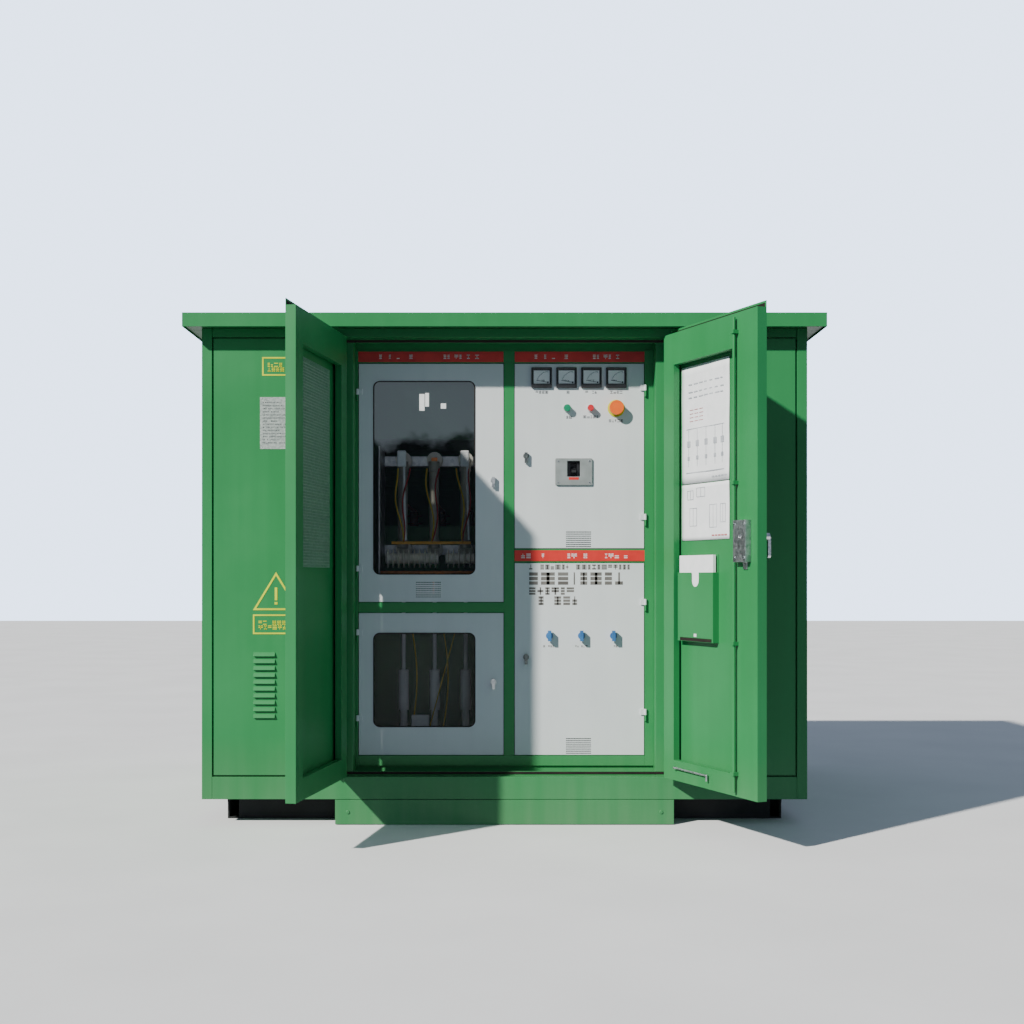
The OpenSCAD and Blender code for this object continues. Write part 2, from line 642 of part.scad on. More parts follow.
latch_z = [z_hv_upper + hv_upper_h * 0.51, z_in_bottom + hv_lower_h * 0.515,
  z_lv_upper + lv_upper_h * 0.5, z_in_bottom + lv_lower_h * 0.51];

module hv_door_upper() color(light_grey) {
  difference() {
    hv_pan(z_hv_upper, hv_upper_h, upper_window_z);
    vent_cuts(hv_mid - 15, z_hv_upper + 24);
    latch_hole(latch_hv_x, latch_z[0]);
  }
  for (i = [2, 3]) translate([x_hv - 4, y_inner - inner_hinge_out, hv_hinge_z[i]]) inner_hinge_moving(1);
}
module hv_window_upper() hv_pane(z_hv_upper, upper_window_z);
module hv_door_lower() color(light_grey) {
  difference() {
    hv_pan(z_in_bottom, hv_lower_h, lower_window_z);
    latch_hole(latch_hv_x, latch_z[1]);
  }
  for (i = [0, 1]) translate([x_hv - 4, y_inner - inner_hinge_out, hv_hinge_z[i]]) inner_hinge_moving(1);
}
module hv_window_lower() hv_pane(z_in_bottom, lower_window_z);

x_r_edge = x_lv + lv_door_w;
lv_mid = x_lv + lv_door_w / 2 - 2;
meter_z = z_in_top - 70;
meter_x = [for (i = [0:3]) lv_mid + (i - 1.5) * meter_pitch];
button_z = z_in_top - 216;
button_x = [lv_mid - 57, lv_mid + 55];
stop_x = lv_mid + 178;
bezel_w = 178;
bezel_h = 130;
bezel_x = lv_mid - 25;
bezel_z = z_in_top - 520;
window_lv = [60, 74];               // breaker window in the bezel
bore_r = 11;                        // actuator hole in the door
module lv_door_upper() color(light_grey) {
  difference() {
    inner_pan(x_lv, z_lv_upper, lv_door_w, lv_upper_h);
    for (x = meter_x) box([x - 36, y_skin - 1, meter_z - 36], [x + 36, y_skin + 3, meter_z + 36]);
    for (x = concat(button_x, [stop_x])) translate([x, y_skin - 1, button_z]) along_y(bore_r, 4);
    box([bezel_x - 60, y_skin - 1, bezel_z - 45], [bezel_x + 60, y_skin + 3, bezel_z + 55]);
    vent_cuts(lv_mid - 2, z_lv_upper + 8);
    latch_hole(latch_lv_x, latch_z[2]);
  }
  for (i = [2, 3]) translate([x_r_edge + 4, y_inner - inner_hinge_out, lv_hinge_z[i]])
    inner_hinge_moving(-1);
  for (b = [[button_x[0], 20], [button_x[1], 20], [stop_x, 37]]) translate([b[0], y_skin - 3, button_z])
    difference() {
      along_y(b[1], 3.5);
      translate([0, -1, 0]) along_y(bore_r, 6);
    }
}

knob_z = z_lv_lower_top - 350;
knob_x = [for (i = [0:2]) lv_mid + 12 + (i - 1) * knob_pitch];
module lv_door_lower() color(light_grey) {
  difference() {
    inner_pan(x_lv, z_in_bottom, lv_door_w, lv_lower_h);
    for (x = knob_x) translate([x, y_skin - 1, knob_z]) along_y(6 + pin_clear, 4);
    vent_cuts(lv_mid - 2, z_in_bottom + 8);
    latch_hole(latch_lv_x, latch_z[3]);
  }
  for (i = [0, 1]) translate([x_r_edge + 4, y_inner - inner_hinge_out, lv_hinge_z[i]])
    inner_hinge_moving(-1);
}

// ---- what the low voltage doors carry ---------------------------------
meter_rim = 12;                     // the case stands this far out of the door
module meter_cases() color(black) for (x = meter_x) difference() {
  union() {
    box([x - meter_w / 2, y_skin - meter_rim, meter_z - meter_w / 2],
      [x + meter_w / 2, y_skin - 0.1, meter_z + meter_w / 2]);
    box([x - 34, y_skin - 0.2, meter_z - 34], [x + 34, y_skin + 46, meter_z + 34]);
  }
  box([x - meter_w / 2 + 6, y_skin - meter_rim - 1, meter_z - meter_w / 2 + 20],
    [x + meter_w / 2 - 6, y_skin - 4, meter_z + meter_w / 2 - 6]);
}
// a pointer on a stub at the dial's lower right corner
needle_drop = 22;
module needle(i) color(black) translate([meter_x[i] + 30, y_skin - 4 - seat_gap, meter_z - needle_drop]) {
  rotate([90, 0, 0]) cylinder(r = 4, h = 4);
  translate([0, -2, 0]) rotate([0, -80, 0]) translate([-1, -1.5, 0]) cube([2, 1.5, 56]);
}
module actuator(x, c, r, out) color(c) translate([x, 0, button_z]) {
  translate([0, y_skin - 3, 0]) along_y(bore_r - 0.4, 30);
  translate([0, y_skin - out, 0]) along_y(r, out - 8);
  translate([0, y_skin - 9, 0]) along_y(bore_r - 0.4, 8);
}
module breaker_bezel() color("#a9aeac") difference() {
  plate_xz([bezel_x - bezel_w / 2, bezel_x + bezel_w / 2], [bezel_z - bezel_h / 2, bezel_z + bezel_h / 2],
    y_skin - 10, 9.9, 8);
  box([bezel_x - window_lv[0] / 2, y_skin - 11, bezel_z + 14 - window_lv[1] / 2],
    [bezel_x + window_lv[0] / 2, y_skin + 1, bezel_z + 14 + window_lv[1] / 2]);
}
toggle_axis_y = y_skin + 26;
module breaker_toggle() color(black) translate([bezel_x, toggle_axis_y, bezel_z + 14]) rotate([15, 0, 0]) {
  along_x_centred(9, 26);
  translate([-11, -46, -6]) cube([22, 44, 12]);
}
module along_x_centred(r, h) translate([-h / 2, 0, 0]) along_x(r, h);

module knob(i) color("#2f5f9a") translate([knob_x[i], 0, knob_z]) {
  translate([0, y_skin - 12, 0]) along_y(6, 30);
  translate([0, y_skin - 12 - seat_gap, 0]) along_y(17, 11.4);
  translate([-8, y_skin - 34, -25]) cube([16, 24, 50]);
}
module latch(x, z) color(steel) translate([x, 0, z]) {
  translate([0, y_skin - 6, 0]) along_y(14, 5.6);
  translate([-7, y_skin - 20, -34]) cube([14, 15, 50]);
  translate([0, y_skin - 2, 0]) along_y(8, 24);
}

// ---- transformer ------------------------------------------------------
bay_mid = (y_part + y_back) / 2 + 10;
module transformer_tank() color("#7f8a86") translate([0, bay_mid, z_tank]) {
  difference() {
    translate([-tank_w / 2, -tank_d / 2, 0]) cube([tank_w, tank_d, tank_h]);
    translate([-tank_w / 2 + 4, -tank_d / 2 + 4, 6]) cube([tank_w - 8, tank_d - 8, tank_h]);
  }
  nx = floor((tank_w - 90) / fin_pitch / 2);
  ny = floor((tank_d - 90) / fin_pitch / 2);
  for (i = [-nx:nx], s = [0, 180]) rotate(s)
    translate([i * fin_pitch - 5, -tank_d / 2 - fin_d, 120]) cube([10, fin_d + 1, tank_h - 260]);
  for (i = [-ny:ny], s = [90, 270]) rotate(s)
    translate([i * fin_pitch - 5, -tank_w / 2 - fin_d, 120]) cube([10, fin_d + 1, tank_h - 260]);
  for (x = [-1, 1] * tank_w * 0.32) translate([x - 40, -tank_d / 2 - 40, -70 + 0.5])
    cube([80, tank_d + 80, 70.5]);
  translate([tank_w / 2 - 80, -tank_d / 2 - 50, 60]) along_y(16, 60);
}
module transformer_cover() color("#7f8a86") translate([0, bay_mid, z_cover + weld_gap]) {
  translate([-tank_w / 2 - 25, -tank_d / 2 - 25, 0]) cube([tank_w + 50, tank_d + 50, cover_t]);
  translate([-tank_w / 2 + 90, 0, cover_t]) cylinder(r = 24, h = 60);
  translate([tank_w / 2 - 90, 120, cover_t]) cylinder(r = 32, h = 90);
  for (x = [-1, 1], y = [-1, 1]) translate([x * (tank_w / 2 - 30) - 5, y * (tank_d / 2 - 60) - 30, cover_t])
    difference() {
      cube([10, 60, 60]);
      translate([-1, 30, 36]) along_x(14, 12);
    }
}
limb = 140;
limb_pitch = 330;
core_h = 700;
z_core = z_tank + 60;
module transformer_core() color("#5b5f63") translate([0, bay_mid, z_core]) {
  for (x = [-1, 0, 1] * limb_pitch) translate([x - limb / 2, -limb / 2, 0]) cube([limb, limb, core_h]);
  for (z = [0, core_h - limb]) translate([-limb_pitch - limb / 2, -limb / 2, z])
    cube([2 * limb_pitch + limb, limb, limb]);
}
module transformer_windings() color(copper) for (x = [-1, 0, 1] * limb_pitch)
  translate([x, bay_mid, z_core + limb + 12]) difference() {
    cylinder(r = 155, h = core_h - 2 * limb - 24);
    translate([0, 0, -1]) cylinder(r = 106, h = core_h);
  }

lv_x = [for (i = [0:3]) x_lv + 110 + i * 110];
// a ribbed insulator standing on z = 0
module insulator(h, r, sheds) rotate_extrude() {
  square([r * 0.55, h]);
  for (i = [0:sheds - 1]) translate([0, h * (i + 0.5) / sheds])
    polygon([[0, -h / sheds * 0.3], [r, -h / sheds * 0.12], [r, h / sheds * 0.02], [0, h / sheds * 0.3]]);
}
module bushings() color("#7a3f26") {
  for (x = hv_x) translate([x, bay_mid - 140, z_bush + 0.2]) insulator(hv_bush_h, 45, 7);
  for (x = lv_x) translate([x, bay_mid - 140, z_bush + 0.2]) insulator(lv_bush_h, 32, 3);
}
module tap_knob() color(black) translate([-40, bay_mid + 120, z_bush + seat_gap]) {
  cylinder(r = 26, h = 30);
  translate([-38, -8, 22]) cube([76, 16, 18]);
}

// ---- high voltage switch ----------------------------------------------
switch_z = z_in_top - 870;       // underside of the fuse row
fuse_len = 400;
switch_side = 105;               // side plate beyond the outer phase
rail_y = y_part - 50;            // front of the rails the insulators stand on
post_r = 38;
post_len = 120;
post_z = [switch_z - 15, switch_z + fuse_len + 35];
barrel_r = 46;
module hv_switch_frame() color("#4d5458") {
  x0 = hv_x[0] - switch_side;
  x1 = hv_x[2] + switch_side;
  for (z = post_z) box([x0, rail_y, z - 25], [x1, y_part - 1, z + 25]);
  for (x = [x0 - 8, x1 + 1])
    box([x, hv_y - 90, switch_z - 170], [x + 7, y_part - 1, switch_z + fuse_len + 90]);
}
module hv_insulators() color("#9a9d98") {
  for (x = hv_x, z = post_z) translate([x, rail_y - weld_gap, z]) rotate([90, 0, 0])
    insulator(post_len, post_r, 4);
  for (b = [[hv_x[0] - switch_side + 25, 260, 10], [hv_x[1] + 60, 188, 7]])
    translate([b[0], hv_y - 60, switch_z - 62]) rotate([0, 90, 0]) insulator(b[1], barrel_r, b[2]);
}
fuse_r = 28;                     // radius of a fuse's end cap
module hv_fuses() for (x = hv_x) translate([x, hv_y, switch_z]) {
  color("#d9d4c4") translate([0, 0, 30]) cylinder(r = 24, h = fuse_len - 60);
  color(steel) for (z = [[-10, 30], [fuse_len - 30, fuse_len + 20]])
    translate([0, 0, z[0]]) cylinder(r = fuse_r, h = z[1] - z[0]);
}
// three blades on one insulated bar, turning on pivots under the fuses
blade_z = switch_z - 130;
module hv_switch_blades() color("#c8a23a") translate([0, hv_y - 60, blade_z]) {
  shaft_len = hv_x[2] - hv_x[0] + 2 * switch_side + 0.8;
  translate([hv_x[0] - switch_side - 0.4, 0, 0]) along_x(8, shaft_len);
  for (x = hv_x) translate([x - 4, -11, -110]) cube([8, 22, 106]);
}
module cable_droppers() color("#c9cac6") for (x = hv_x) translate([x, cable_y, 0]) {
  translate([0, 0, z_in_bottom + 380]) cylinder(r = 10, h = switch_z - 277 - z_in_bottom - 380);
  translate([0, 0, z_in_bottom + 190]) cylinder(r = 26, h = 200);
  translate([0, 0, z_body - 40]) cylinder(r = 18, h = z_in_bottom + 200 - z_body + 40);
}

// ---- conductors -------------------------------------------------------
bar_t = 8;
riser_y = hv_y + fuse_r + weld_gap;
breaker_y = y_inner_back + 190;
module busbars() color(copper) {
  // each riser passes in front of the upper post and ends on the back of its fuse's top cap
  for (x = hv_x) {
    box([x - 15, riser_y + bar_t + weld_gap, hv_bar_z], [x + 15, bay_mid - 110, hv_bar_z + bar_t]);
    box([x - 15, riser_y, min(hv_bar_z, post_z[1])],
      [x + 15, riser_y + bar_t, max(hv_bar_z, post_z[1]) + bar_t]);
  }
  for (x = lv_x) box([x - 25, breaker_y + 20, lv_bar_z], [x + 25, bay_mid - 105, lv_bar_z + bar_t]);
}

feeder_y = [y_inner_back + 60, y_inner_back + 140];  // feeder switches behind the lower door
module rail(y, z) box([x_lv + 4, y + weld_gap, z - 15], [x_r_edge - 4, y + 10, z + 15]);
module lv_breakers() {
  color("#2b2d30") {
    difference() {
      union() {
        box([bezel_x - 105, y_inner + inner_t + 12, bezel_z - 150],
          [bezel_x + 105, breaker_y - 20, bezel_z + 150]);
        box([bezel_x - 52, y_skin + 8, bezel_z - 40], [bezel_x + 52, breaker_y - 60, bezel_z + 43]);
      }
      box([bezel_x - 15, y_skin + 7, bezel_z - 26], [bezel_x + 15, y_skin + 48, bezel_z + 42]);
    }
    for (x = knob_x) box([x - 45, feeder_y[0], knob_z - 80], [x + 45, feeder_y[1], knob_z + 80]);
  }
  // the rails that carry the main breaker and the feeder switches
  color(steel) {
    for (z = [bezel_z - 130, bezel_z + 130]) rail(breaker_y - 20, z);
    for (z = [knob_z - 70, knob_z + 70]) rail(feeder_y[1], z);
  }
}

// ---- what is drawn ----------------------------------------------------
base_frame();
plinth_cover();
floor_pan();
body_frame();
front_panels();
side_panels();
rear_panels();
roof_shell();
roof_frame();
partition_wall();
inner_frame();
labels();
door_gasket();
frame_hinges();
transformer_tank();
transformer_cover();
transformer_core();
transformer_windings();
bushings();
hv_switch_frame();
hv_insulators();
hv_fuses();
hv_switch_blades();
cable_droppers();
busbars();
lv_breakers();
door_left_shell();
door_left_mesh();
door_right_shell();
drawing_sheets();
document_pocket();
lock_case();
door_handle();
lock_rod_upper();
lock_rod_lower();
stay_rod();
hv_door_upper();
hv_window_upper();
hv_door_lower();
hv_window_lower();
lv_door_upper();
lv_door_lower();
meter_cases();
breaker_bezel();
needle(0);  // needle_1
needle(1);  // needle_2
needle(2);  // needle_3
needle(3);  // needle_4
actuator(button_x[0], "#1f8a5f", 17, 28);  // button_green
actuator(button_x[1], "#c62828", 15, 34);  // button_red
actuator(stop_x, "#e06a1c", 34, 46);  // stop_button
breaker_toggle();
knob(0);  // knob_1
knob(1);  // knob_2
knob(2);  // knob_3
latch(latch_hv_x, latch_z[0]);  // hv_upper_latch
latch(latch_hv_x, latch_z[1]);  // hv_lower_latch
latch(latch_lv_x, latch_z[2]);  // lv_upper_latch
latch(latch_lv_x, latch_z[3]);  // lv_lower_latch
tap_knob();
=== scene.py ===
import json
import math
import bmesh
import bpy
import numpy as np
from mathutils import Matrix, Vector


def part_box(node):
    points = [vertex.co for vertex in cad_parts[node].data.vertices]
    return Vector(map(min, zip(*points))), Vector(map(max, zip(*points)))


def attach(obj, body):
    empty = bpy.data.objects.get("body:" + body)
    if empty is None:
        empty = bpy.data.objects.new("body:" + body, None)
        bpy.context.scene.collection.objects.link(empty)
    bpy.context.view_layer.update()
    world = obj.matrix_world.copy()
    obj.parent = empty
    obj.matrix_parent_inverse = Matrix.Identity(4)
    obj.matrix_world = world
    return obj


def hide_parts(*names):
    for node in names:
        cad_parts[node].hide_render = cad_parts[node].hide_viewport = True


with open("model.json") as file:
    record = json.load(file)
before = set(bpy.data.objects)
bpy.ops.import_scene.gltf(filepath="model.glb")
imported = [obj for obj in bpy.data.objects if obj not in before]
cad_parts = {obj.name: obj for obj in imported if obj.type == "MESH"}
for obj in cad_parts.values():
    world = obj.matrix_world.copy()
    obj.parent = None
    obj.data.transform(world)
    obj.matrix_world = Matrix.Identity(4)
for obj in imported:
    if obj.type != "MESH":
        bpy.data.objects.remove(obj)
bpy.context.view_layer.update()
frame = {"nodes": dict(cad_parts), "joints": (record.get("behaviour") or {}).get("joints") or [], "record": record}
bodyOf = {node: body for body, nodes in frame["record"]["behaviour"]["bodies"].items() for node in nodes}
slotOf = {part["node"]: part["material_slot"] for part in frame["record"]["subparts"]}
jointOf = {joint["name"]: joint for joint in frame["joints"]}
collection = bpy.context.scene.collection
print("frame loaded:", len(bodyOf), "nodes")


# small helpers
def linearColour(code):  # sRGB hex to linear
    parts = [int(code[i:i + 2], 16) / 255 for i in (1, 3, 5)]
    return [p / 12.92 if p < 0.04045 else ((p + 0.055) / 1.055) ** 2.4 for p in parts] + [1]


def addNode(tree, kind, inputs=None, **settings):  # settings first, then values or links
    node = tree.nodes.new(kind)
    for key, value in settings.items():
        setattr(node, key, value)
    for key, value in (inputs or {}).items():
        if isinstance(value, bpy.types.NodeSocket):
            tree.links.new(value, node.inputs[key])
        elif isinstance(value, str) and value.startswith("#"):
            node.inputs[key].default_value = linearColour(value)
        else:
            node.inputs[key].default_value = value
    return node


def makeMaterial(name, look, build=None):
    # look: the settings that are the same all over; build adds what varies and returns linked inputs
    material = bpy.data.materials.new(name)
    material.use_nodes = True
    tree = material.node_tree
    shader = tree.nodes["Principled BSDF"]
    for key, value in look.items():
        shader.inputs[key].default_value = linearColour(value) if isinstance(value, str) else value
    if build:
        place = addNode(tree, "ShaderNodeTexCoord").outputs["Object"]
        for key, socket in build(tree, place).items():
            tree.links.new(socket, shader.inputs[key])
    return material


def ramp(tree, factor, stops, **settings):
    node = addNode(tree, "ShaderNodeValToRGB", {"Fac": factor}, **settings)
    elements = node.color_ramp.elements
    while len(elements) < len(stops):
        elements.new(0.5)
    for element, (at, colour) in zip(elements, stops):
        element.position = at
        element.color = linearColour(colour) if isinstance(colour, str) else (colour, colour, colour, 1)
    return node.outputs["Color"]


def noise(tree, place, size, detail, **more):  # size in mm
    inputs = {"Vector": place, "Scale": 1000 / size, "Detail": detail, **more}
    return addNode(tree, "ShaderNodeTexNoise", inputs).outputs["Fac"]


def bumpFrom(tree, height, strength, distance):
    inputs = {"Height": height, "Strength": strength, "Distance": distance}
    return addNode(tree, "ShaderNodeBump", inputs).outputs["Normal"]


def mapRange(tree, value, start, end):  # each a pair, low and high
    inputs = {"Value": value, "From Min": start[0], "From Max": start[1], "To Min": end[0], "To Max": end[1]}
    return addNode(tree, "ShaderNodeMapRange", inputs).outputs["Result"]


# materials
powderCoat = {  # peel, patch and streak in mm, the rest in metres or plain ratios
    "peel": 2.5, "peelDepth": 0.0006, "fadePatch": 900, "streakWidth": 60,
    "roughest": 0.5, "smoothest": 0.34, "dustTop": 0.42,
}


def powderPaint(shades, dusty=True, sizes=powderCoat):
    # polyester powder coat: slight orange peel, faint sun fading, faint rain streaks, road dust low down
    def build(tree, place):
        fade = noise(tree, place, sizes["fadePatch"], 5, Roughness=0.6)
        stretch = addNode(tree, "ShaderNodeMapping", {"Vector": place, "Scale": (1, 1, 0.06)})
        streak = noise(tree, stretch.outputs[0], sizes["streakWidth"], 4)
        both = addNode(tree, "ShaderNodeMix", {"Factor": 0.25, "A": fade, "B": streak},
            data_type="FLOAT").outputs["Result"]
        colour = ramp(tree, both, [(0.34, shades[0]), (0.5, shades[1]), (0.68, shades[2])])
        if dusty:
            height = addNode(tree, "ShaderNodeSeparateXYZ", {"Vector": place}).outputs["Z"]
            low = mapRange(tree, height, (0.02, sizes["dustTop"]), (0.22, 0.0))
            patchy = addNode(tree, "ShaderNodeMath", {0: low, 1: streak}, operation="MULTIPLY").outputs[0]
            mixed = {"Factor": patchy, "A": colour, "B": "#a79f8c"}
            colour = addNode(tree, "ShaderNodeMix", mixed, data_type="RGBA").outputs["Result"]
        bump = bumpFrom(tree, noise(tree, place, sizes["peel"], 2), 0.25, sizes["peelDepth"])
        gloss = mapRange(tree, both, (0.3, 0.7), (sizes["smoothest"], sizes["roughest"]))
        return {"Base Color": colour, "Roughness": gloss, "Normal": bump}
    return build


def metalGrain(shades, grain, rough, along=(1, 1, 1)):
    # rolled and plated metal: fine directional grain with cloudy spangle
    def build(tree, place):
        stretch = addNode(tree, "ShaderNodeMapping", {"Vector": place, "Scale": along})
        fine = noise(tree, stretch.outputs[0], grain, 3)
        spangle = addNode(tree, "ShaderNodeTexVoronoi", {"Vector": place, "Scale": 1000 / (grain * 5)})
        mixed = {"Factor": 0.35, "A": fine, "B": spangle.outputs["Color"]}
        both = addNode(tree, "ShaderNodeMix", mixed, data_type="FLOAT").outputs["Result"]
        bump = bumpFrom(tree, fine, 0.15, 0.0003)
        gloss = mapRange(tree, both, (0.3, 0.7), rough)
        colour = ramp(tree, both, [(0.3, shades[0]), (0.7, shades[1])])
        return {"Base Color": colour, "Roughness": gloss, "Normal": bump}
    return build


def mouldedSkin(shades, grain, rough, depth=0.0002):
    # moulded plastic, resin, rubber or glaze: a fine skin with faint cloudy colour
    def build(tree, place):
        cloud = noise(tree, place, grain * 40, 4)
        skin = noise(tree, place, grain, 2)
        bump = bumpFrom(tree, skin, 0.3, depth)
        gloss = mapRange(tree, skin, (0.3, 0.7), rough)
        colour = ramp(tree, cloud, [(0.35, shades[0]), (0.65, shades[1])])
        return {"Base Color": colour, "Roughness": gloss, "Normal": bump}
    return build


def paneWithPaintedReflection(low, high, seam, ragged):
    # window glass with a painted reflection: an emission gradient paints a bright sky's sheen above a ragged line
    def build(tree, place):
        height = addNode(tree, "ShaderNodeSeparateXYZ", {"Vector": place}).outputs["Z"]
        cloud = addNode(tree, "ShaderNodeTexNoise", {"Vector": place, "Scale": 9, "Detail": 5})
        lifted = addNode(tree, "ShaderNodeMath", {0: cloud.outputs["Fac"], 1: ragged, 2: height},
            operation="MULTIPLY_ADD")
        part = mapRange(tree, lifted.outputs[0], (seam, seam + 0.06), (0.0, 1.0))
        return {"Emission Color": ramp(tree, part, [(0.0, low), (1.0, high)])}
    return build


def makeInk(name, dark, pale):
    return makeMaterial(name, {"Specular IOR Level": 0.2}, mouldedSkin([dark, pale], 1.5, (0.5, 0.7)))


def makeCap(name, dark, pale):  # glossy button tops
    return makeMaterial(name, {"Coat Weight": 0.3}, mouldedSkin([dark, pale], 1.5, (0.25, 0.4)))


greenPowder = makeMaterial("greenPowderCoat", {"Specular IOR Level": 0.3},
    powderPaint(["#277c44", "#2a8148", "#2f884e"]))
deepGreenPowder = makeMaterial("deepGreenPowderCoat", {"Specular IOR Level": 0.3},
    powderPaint(["#1d5a30", "#206036", "#24663a"]))
greyPowder = makeMaterial("lightGreyPowderCoat", {"Specular IOR Level": 0.45},
    powderPaint(["#ccd1d0", "#d3d8d7", "#dadedd"], False))
tankPowder = makeMaterial("tankGreyEnamel", {"Specular IOR Level": 0.45},
    powderPaint(["#737d79", "#7c8682", "#858f8b"], False))
blackBitumen = makeMaterial("blackBitumenPaint", {"Specular IOR Level": 0.35},
    mouldedSkin(["#151716", "#232625"], 4, (0.5, 0.8), 0.0008))
zincPlate = makeMaterial("zincPlatedSteel", {"Metallic": 1.0},
    metalGrain(["#9aa0a3", "#c6cacc"], 2.5, (0.3, 0.5)))
darkZinc = makeMaterial("darkPassivatedZinc", {"Metallic": 0.9},
    metalGrain(["#4c5252", "#737a79"], 2.5, (0.35, 0.55)))
satinChrome = makeMaterial("satinChrome", {"Metallic": 1.0},
    metalGrain(["#b9bdc0", "#dfe2e4"], 1.2, (0.14, 0.26), (1, 1, 0.1)))
laminatedSteel = makeMaterial("laminatedCoreSteel", {"Metallic": 0.9},
    metalGrain(["#4a4d50", "#6a6d70"], 3, (0.4, 0.6), (1, 1, 0.02)))
copperBar = makeMaterial("tinnedCopperBar", {"Metallic": 1.0},
    metalGrain(["#b06a3c", "#d08f5f"], 2, (0.28, 0.45), (0.1, 0.1, 1)))
# the Emission Strength here carries the painted sky reflection on the window glass; the dark base colour is the
# glass's own tint
paneLook = {
    "Alpha": 0.15, "Specular IOR Level": 0.5, "IOR": 1.52, "Roughness": 0.03,
    "Base Color": "#1c2022", "Emission Strength": 1.0,
}
windowGlass = makeMaterial("tintedGlassPaintedReflection", paneLook, paneWithPaintedReflection("#0a0b0c", "#87929c", 1.93, 0.3))
brownGlaze = makeMaterial("brownGlazedPorcelain", {"Coat Weight": 0.6, "Coat Roughness": 0.08},
    mouldedSkin(["#54281a", "#6e3824"], 6, (0.15, 0.3)))
greyResin = makeMaterial("castEpoxyResin", {}, mouldedSkin(["#e6e0cd", "#f2eee0"], 3, (0.4, 0.6)))
fuseTube = makeMaterial("glazedFuseTube", {"Coat Weight": 0.4},
    mouldedSkin(["#8b8778", "#a19d8e"], 5, (0.25, 0.4)))
cableSleeve = makeMaterial("siliconeCableSleeve", {}, mouldedSkin(["#d5d6d2", "#e6e7e4"], 3, (0.45, 0.6)))
blackRubber = makeMaterial("epdmRubberSeal", {"Specular IOR Level": 0.3},
    mouldedSkin(["#17120f", "#241c17"], 2, (0.6, 0.8)))
blackAbs = makeMaterial("blackMouldedAbs", {}, mouldedSkin(["#141517", "#1f2124"], 1.5, (0.3, 0.5)))
greyAbs = makeMaterial("greyMouldedAbs", {}, mouldedSkin(["#7e8482", "#8b9190"], 1.5, (0.4, 0.55)))
greenCap = makeCap("greenActuatorCap", "#0f7d56", "#178d63")
redCap = makeCap("redActuatorCap", "#b8262a", "#cf3236")
orangeCap = makeCap("orangeMushroomCap", "#d9560f", "#ee6a1c")
blueKnob = makeMaterial("blueSelectorKnob", {"Coat Weight": 0.2},
    mouldedSkin(["#2b5f93", "#3873a8"], 1.5, (0.3, 0.45)))
dialWhite = makeMaterial("whiteDialCard", {}, mouldedSkin(["#e4e6e4", "#f0f1ef"], 2, (0.4, 0.5)))
sheetPaper = makeMaterial("coatedDrawingPaper", {"Specular IOR Level": 0.25},
    mouldedSkin(["#f0f2f2", "#f8f9f9"], 1.2, (0.5, 0.7), 0.0003))
redVinyl = makeMaterial("redLabelVinyl", {}, mouldedSkin(["#c02620", "#d2322a"], 2, (0.35, 0.5)))
yellowVinyl = makeMaterial("yellowMarkingPaint", {}, mouldedSkin(["#c9cc12", "#dde024"], 2, (0.4, 0.6)))
plateAluminium = makeMaterial("anodisedRatingPlate", {"Metallic": 0.6},
    metalGrain(["#a4aca6", "#bcc3bd"], 1.5, (0.35, 0.5), (0.08, 1, 1)))
inkGrey = makeInk("printedGreyInk", "#3a3d42", "#5a5e64")
inkBrown = makeInk("printedWarmGreyInk", "#5f5c58", "#787570")
inkPale = makeInk("printedPaleInk", "#a3a8ae", "#c3c7cb")
inkRed = makeInk("printedRedInk", "#b45a5a", "#c97b7b")
inkWhite = makeInk("printedWhiteInk", "#d8c2bd", "#efe2df")
wireYellow = makeMaterial("yellowGreenEarthWire", {}, mouldedSkin(["#b7a022", "#cdb52e"], 2, (0.4, 0.55)))
wireRed = makeMaterial("redPhaseWire", {}, mouldedSkin(["#8d2320", "#a32c27"], 2, (0.4, 0.55)))
orangeBar = makeMaterial("orangeInsulatedBar", {}, mouldedSkin(["#d99a22", "#eab034"], 2, (0.4, 0.55)))
# green mesh colour lightened as painted sunlight shining through from behind
meshPaintedBacklight = makeMaterial("greenMeshPaintedBacklight", {"Metallic": 0.3},
    metalGrain(["#8fb39a", "#abcbb3"], 2, (0.35, 0.55)))
print("materials made")


# mesh helpers
def finish(piece, body, nodes=()):
    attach(piece, body)
    if nodes:
        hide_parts(*nodes)
    return piece


def meshPiece(name, build, materials, smooth=False):
    shape = bmesh.new()
    build(shape)
    mesh = bpy.data.meshes.new(name)
    shape.normal_update()
    shape.to_mesh(mesh)
    shape.free()
    for material in materials:
        mesh.materials.append(material)
    for polygon in mesh.polygons:
        polygon.use_smooth = smooth
    piece = bpy.data.objects.new(name, mesh)
    collection.objects.link(piece)
    return piece


def addBlock(shape, low, high, place=None, slotIndex=0, round=0.0):
    low, high = Vector(low), Vector(high)
    made = bmesh.ops.create_cube(shape, size=1)["verts"]
    bmesh.ops.scale(shape, verts=made, vec=high - low)
    bmesh.ops.translate(shape, verts=made, vec=(low + high) / 2)
    faces = list({face for vert in made for face in vert.link_faces})
    if round:
        edges = list({edge for vert in made for edge in vert.link_edges})
        bevelled = bmesh.ops.bevel(shape, geom=edges, offset=round, segments=2, affect="EDGES", profile=0.5)
        made = list({vert for face in bevelled["faces"] for vert in face.verts})
        faces = list({face for vert in made for face in vert.link_faces})
    for face in faces:
        face.material_index = slotIndex
    if place is not None:
        bmesh.ops.transform(shape, matrix=place, verts=list({vert for face in faces for vert in face.verts}))


def outward(shape):  # every face looks out of its own solid
    bmesh.ops.recalc_face_normals(shape, faces=shape.faces)


def turns(count):  # equal angles round a circle
    return [2 * math.pi * k / count for k in range(count)]


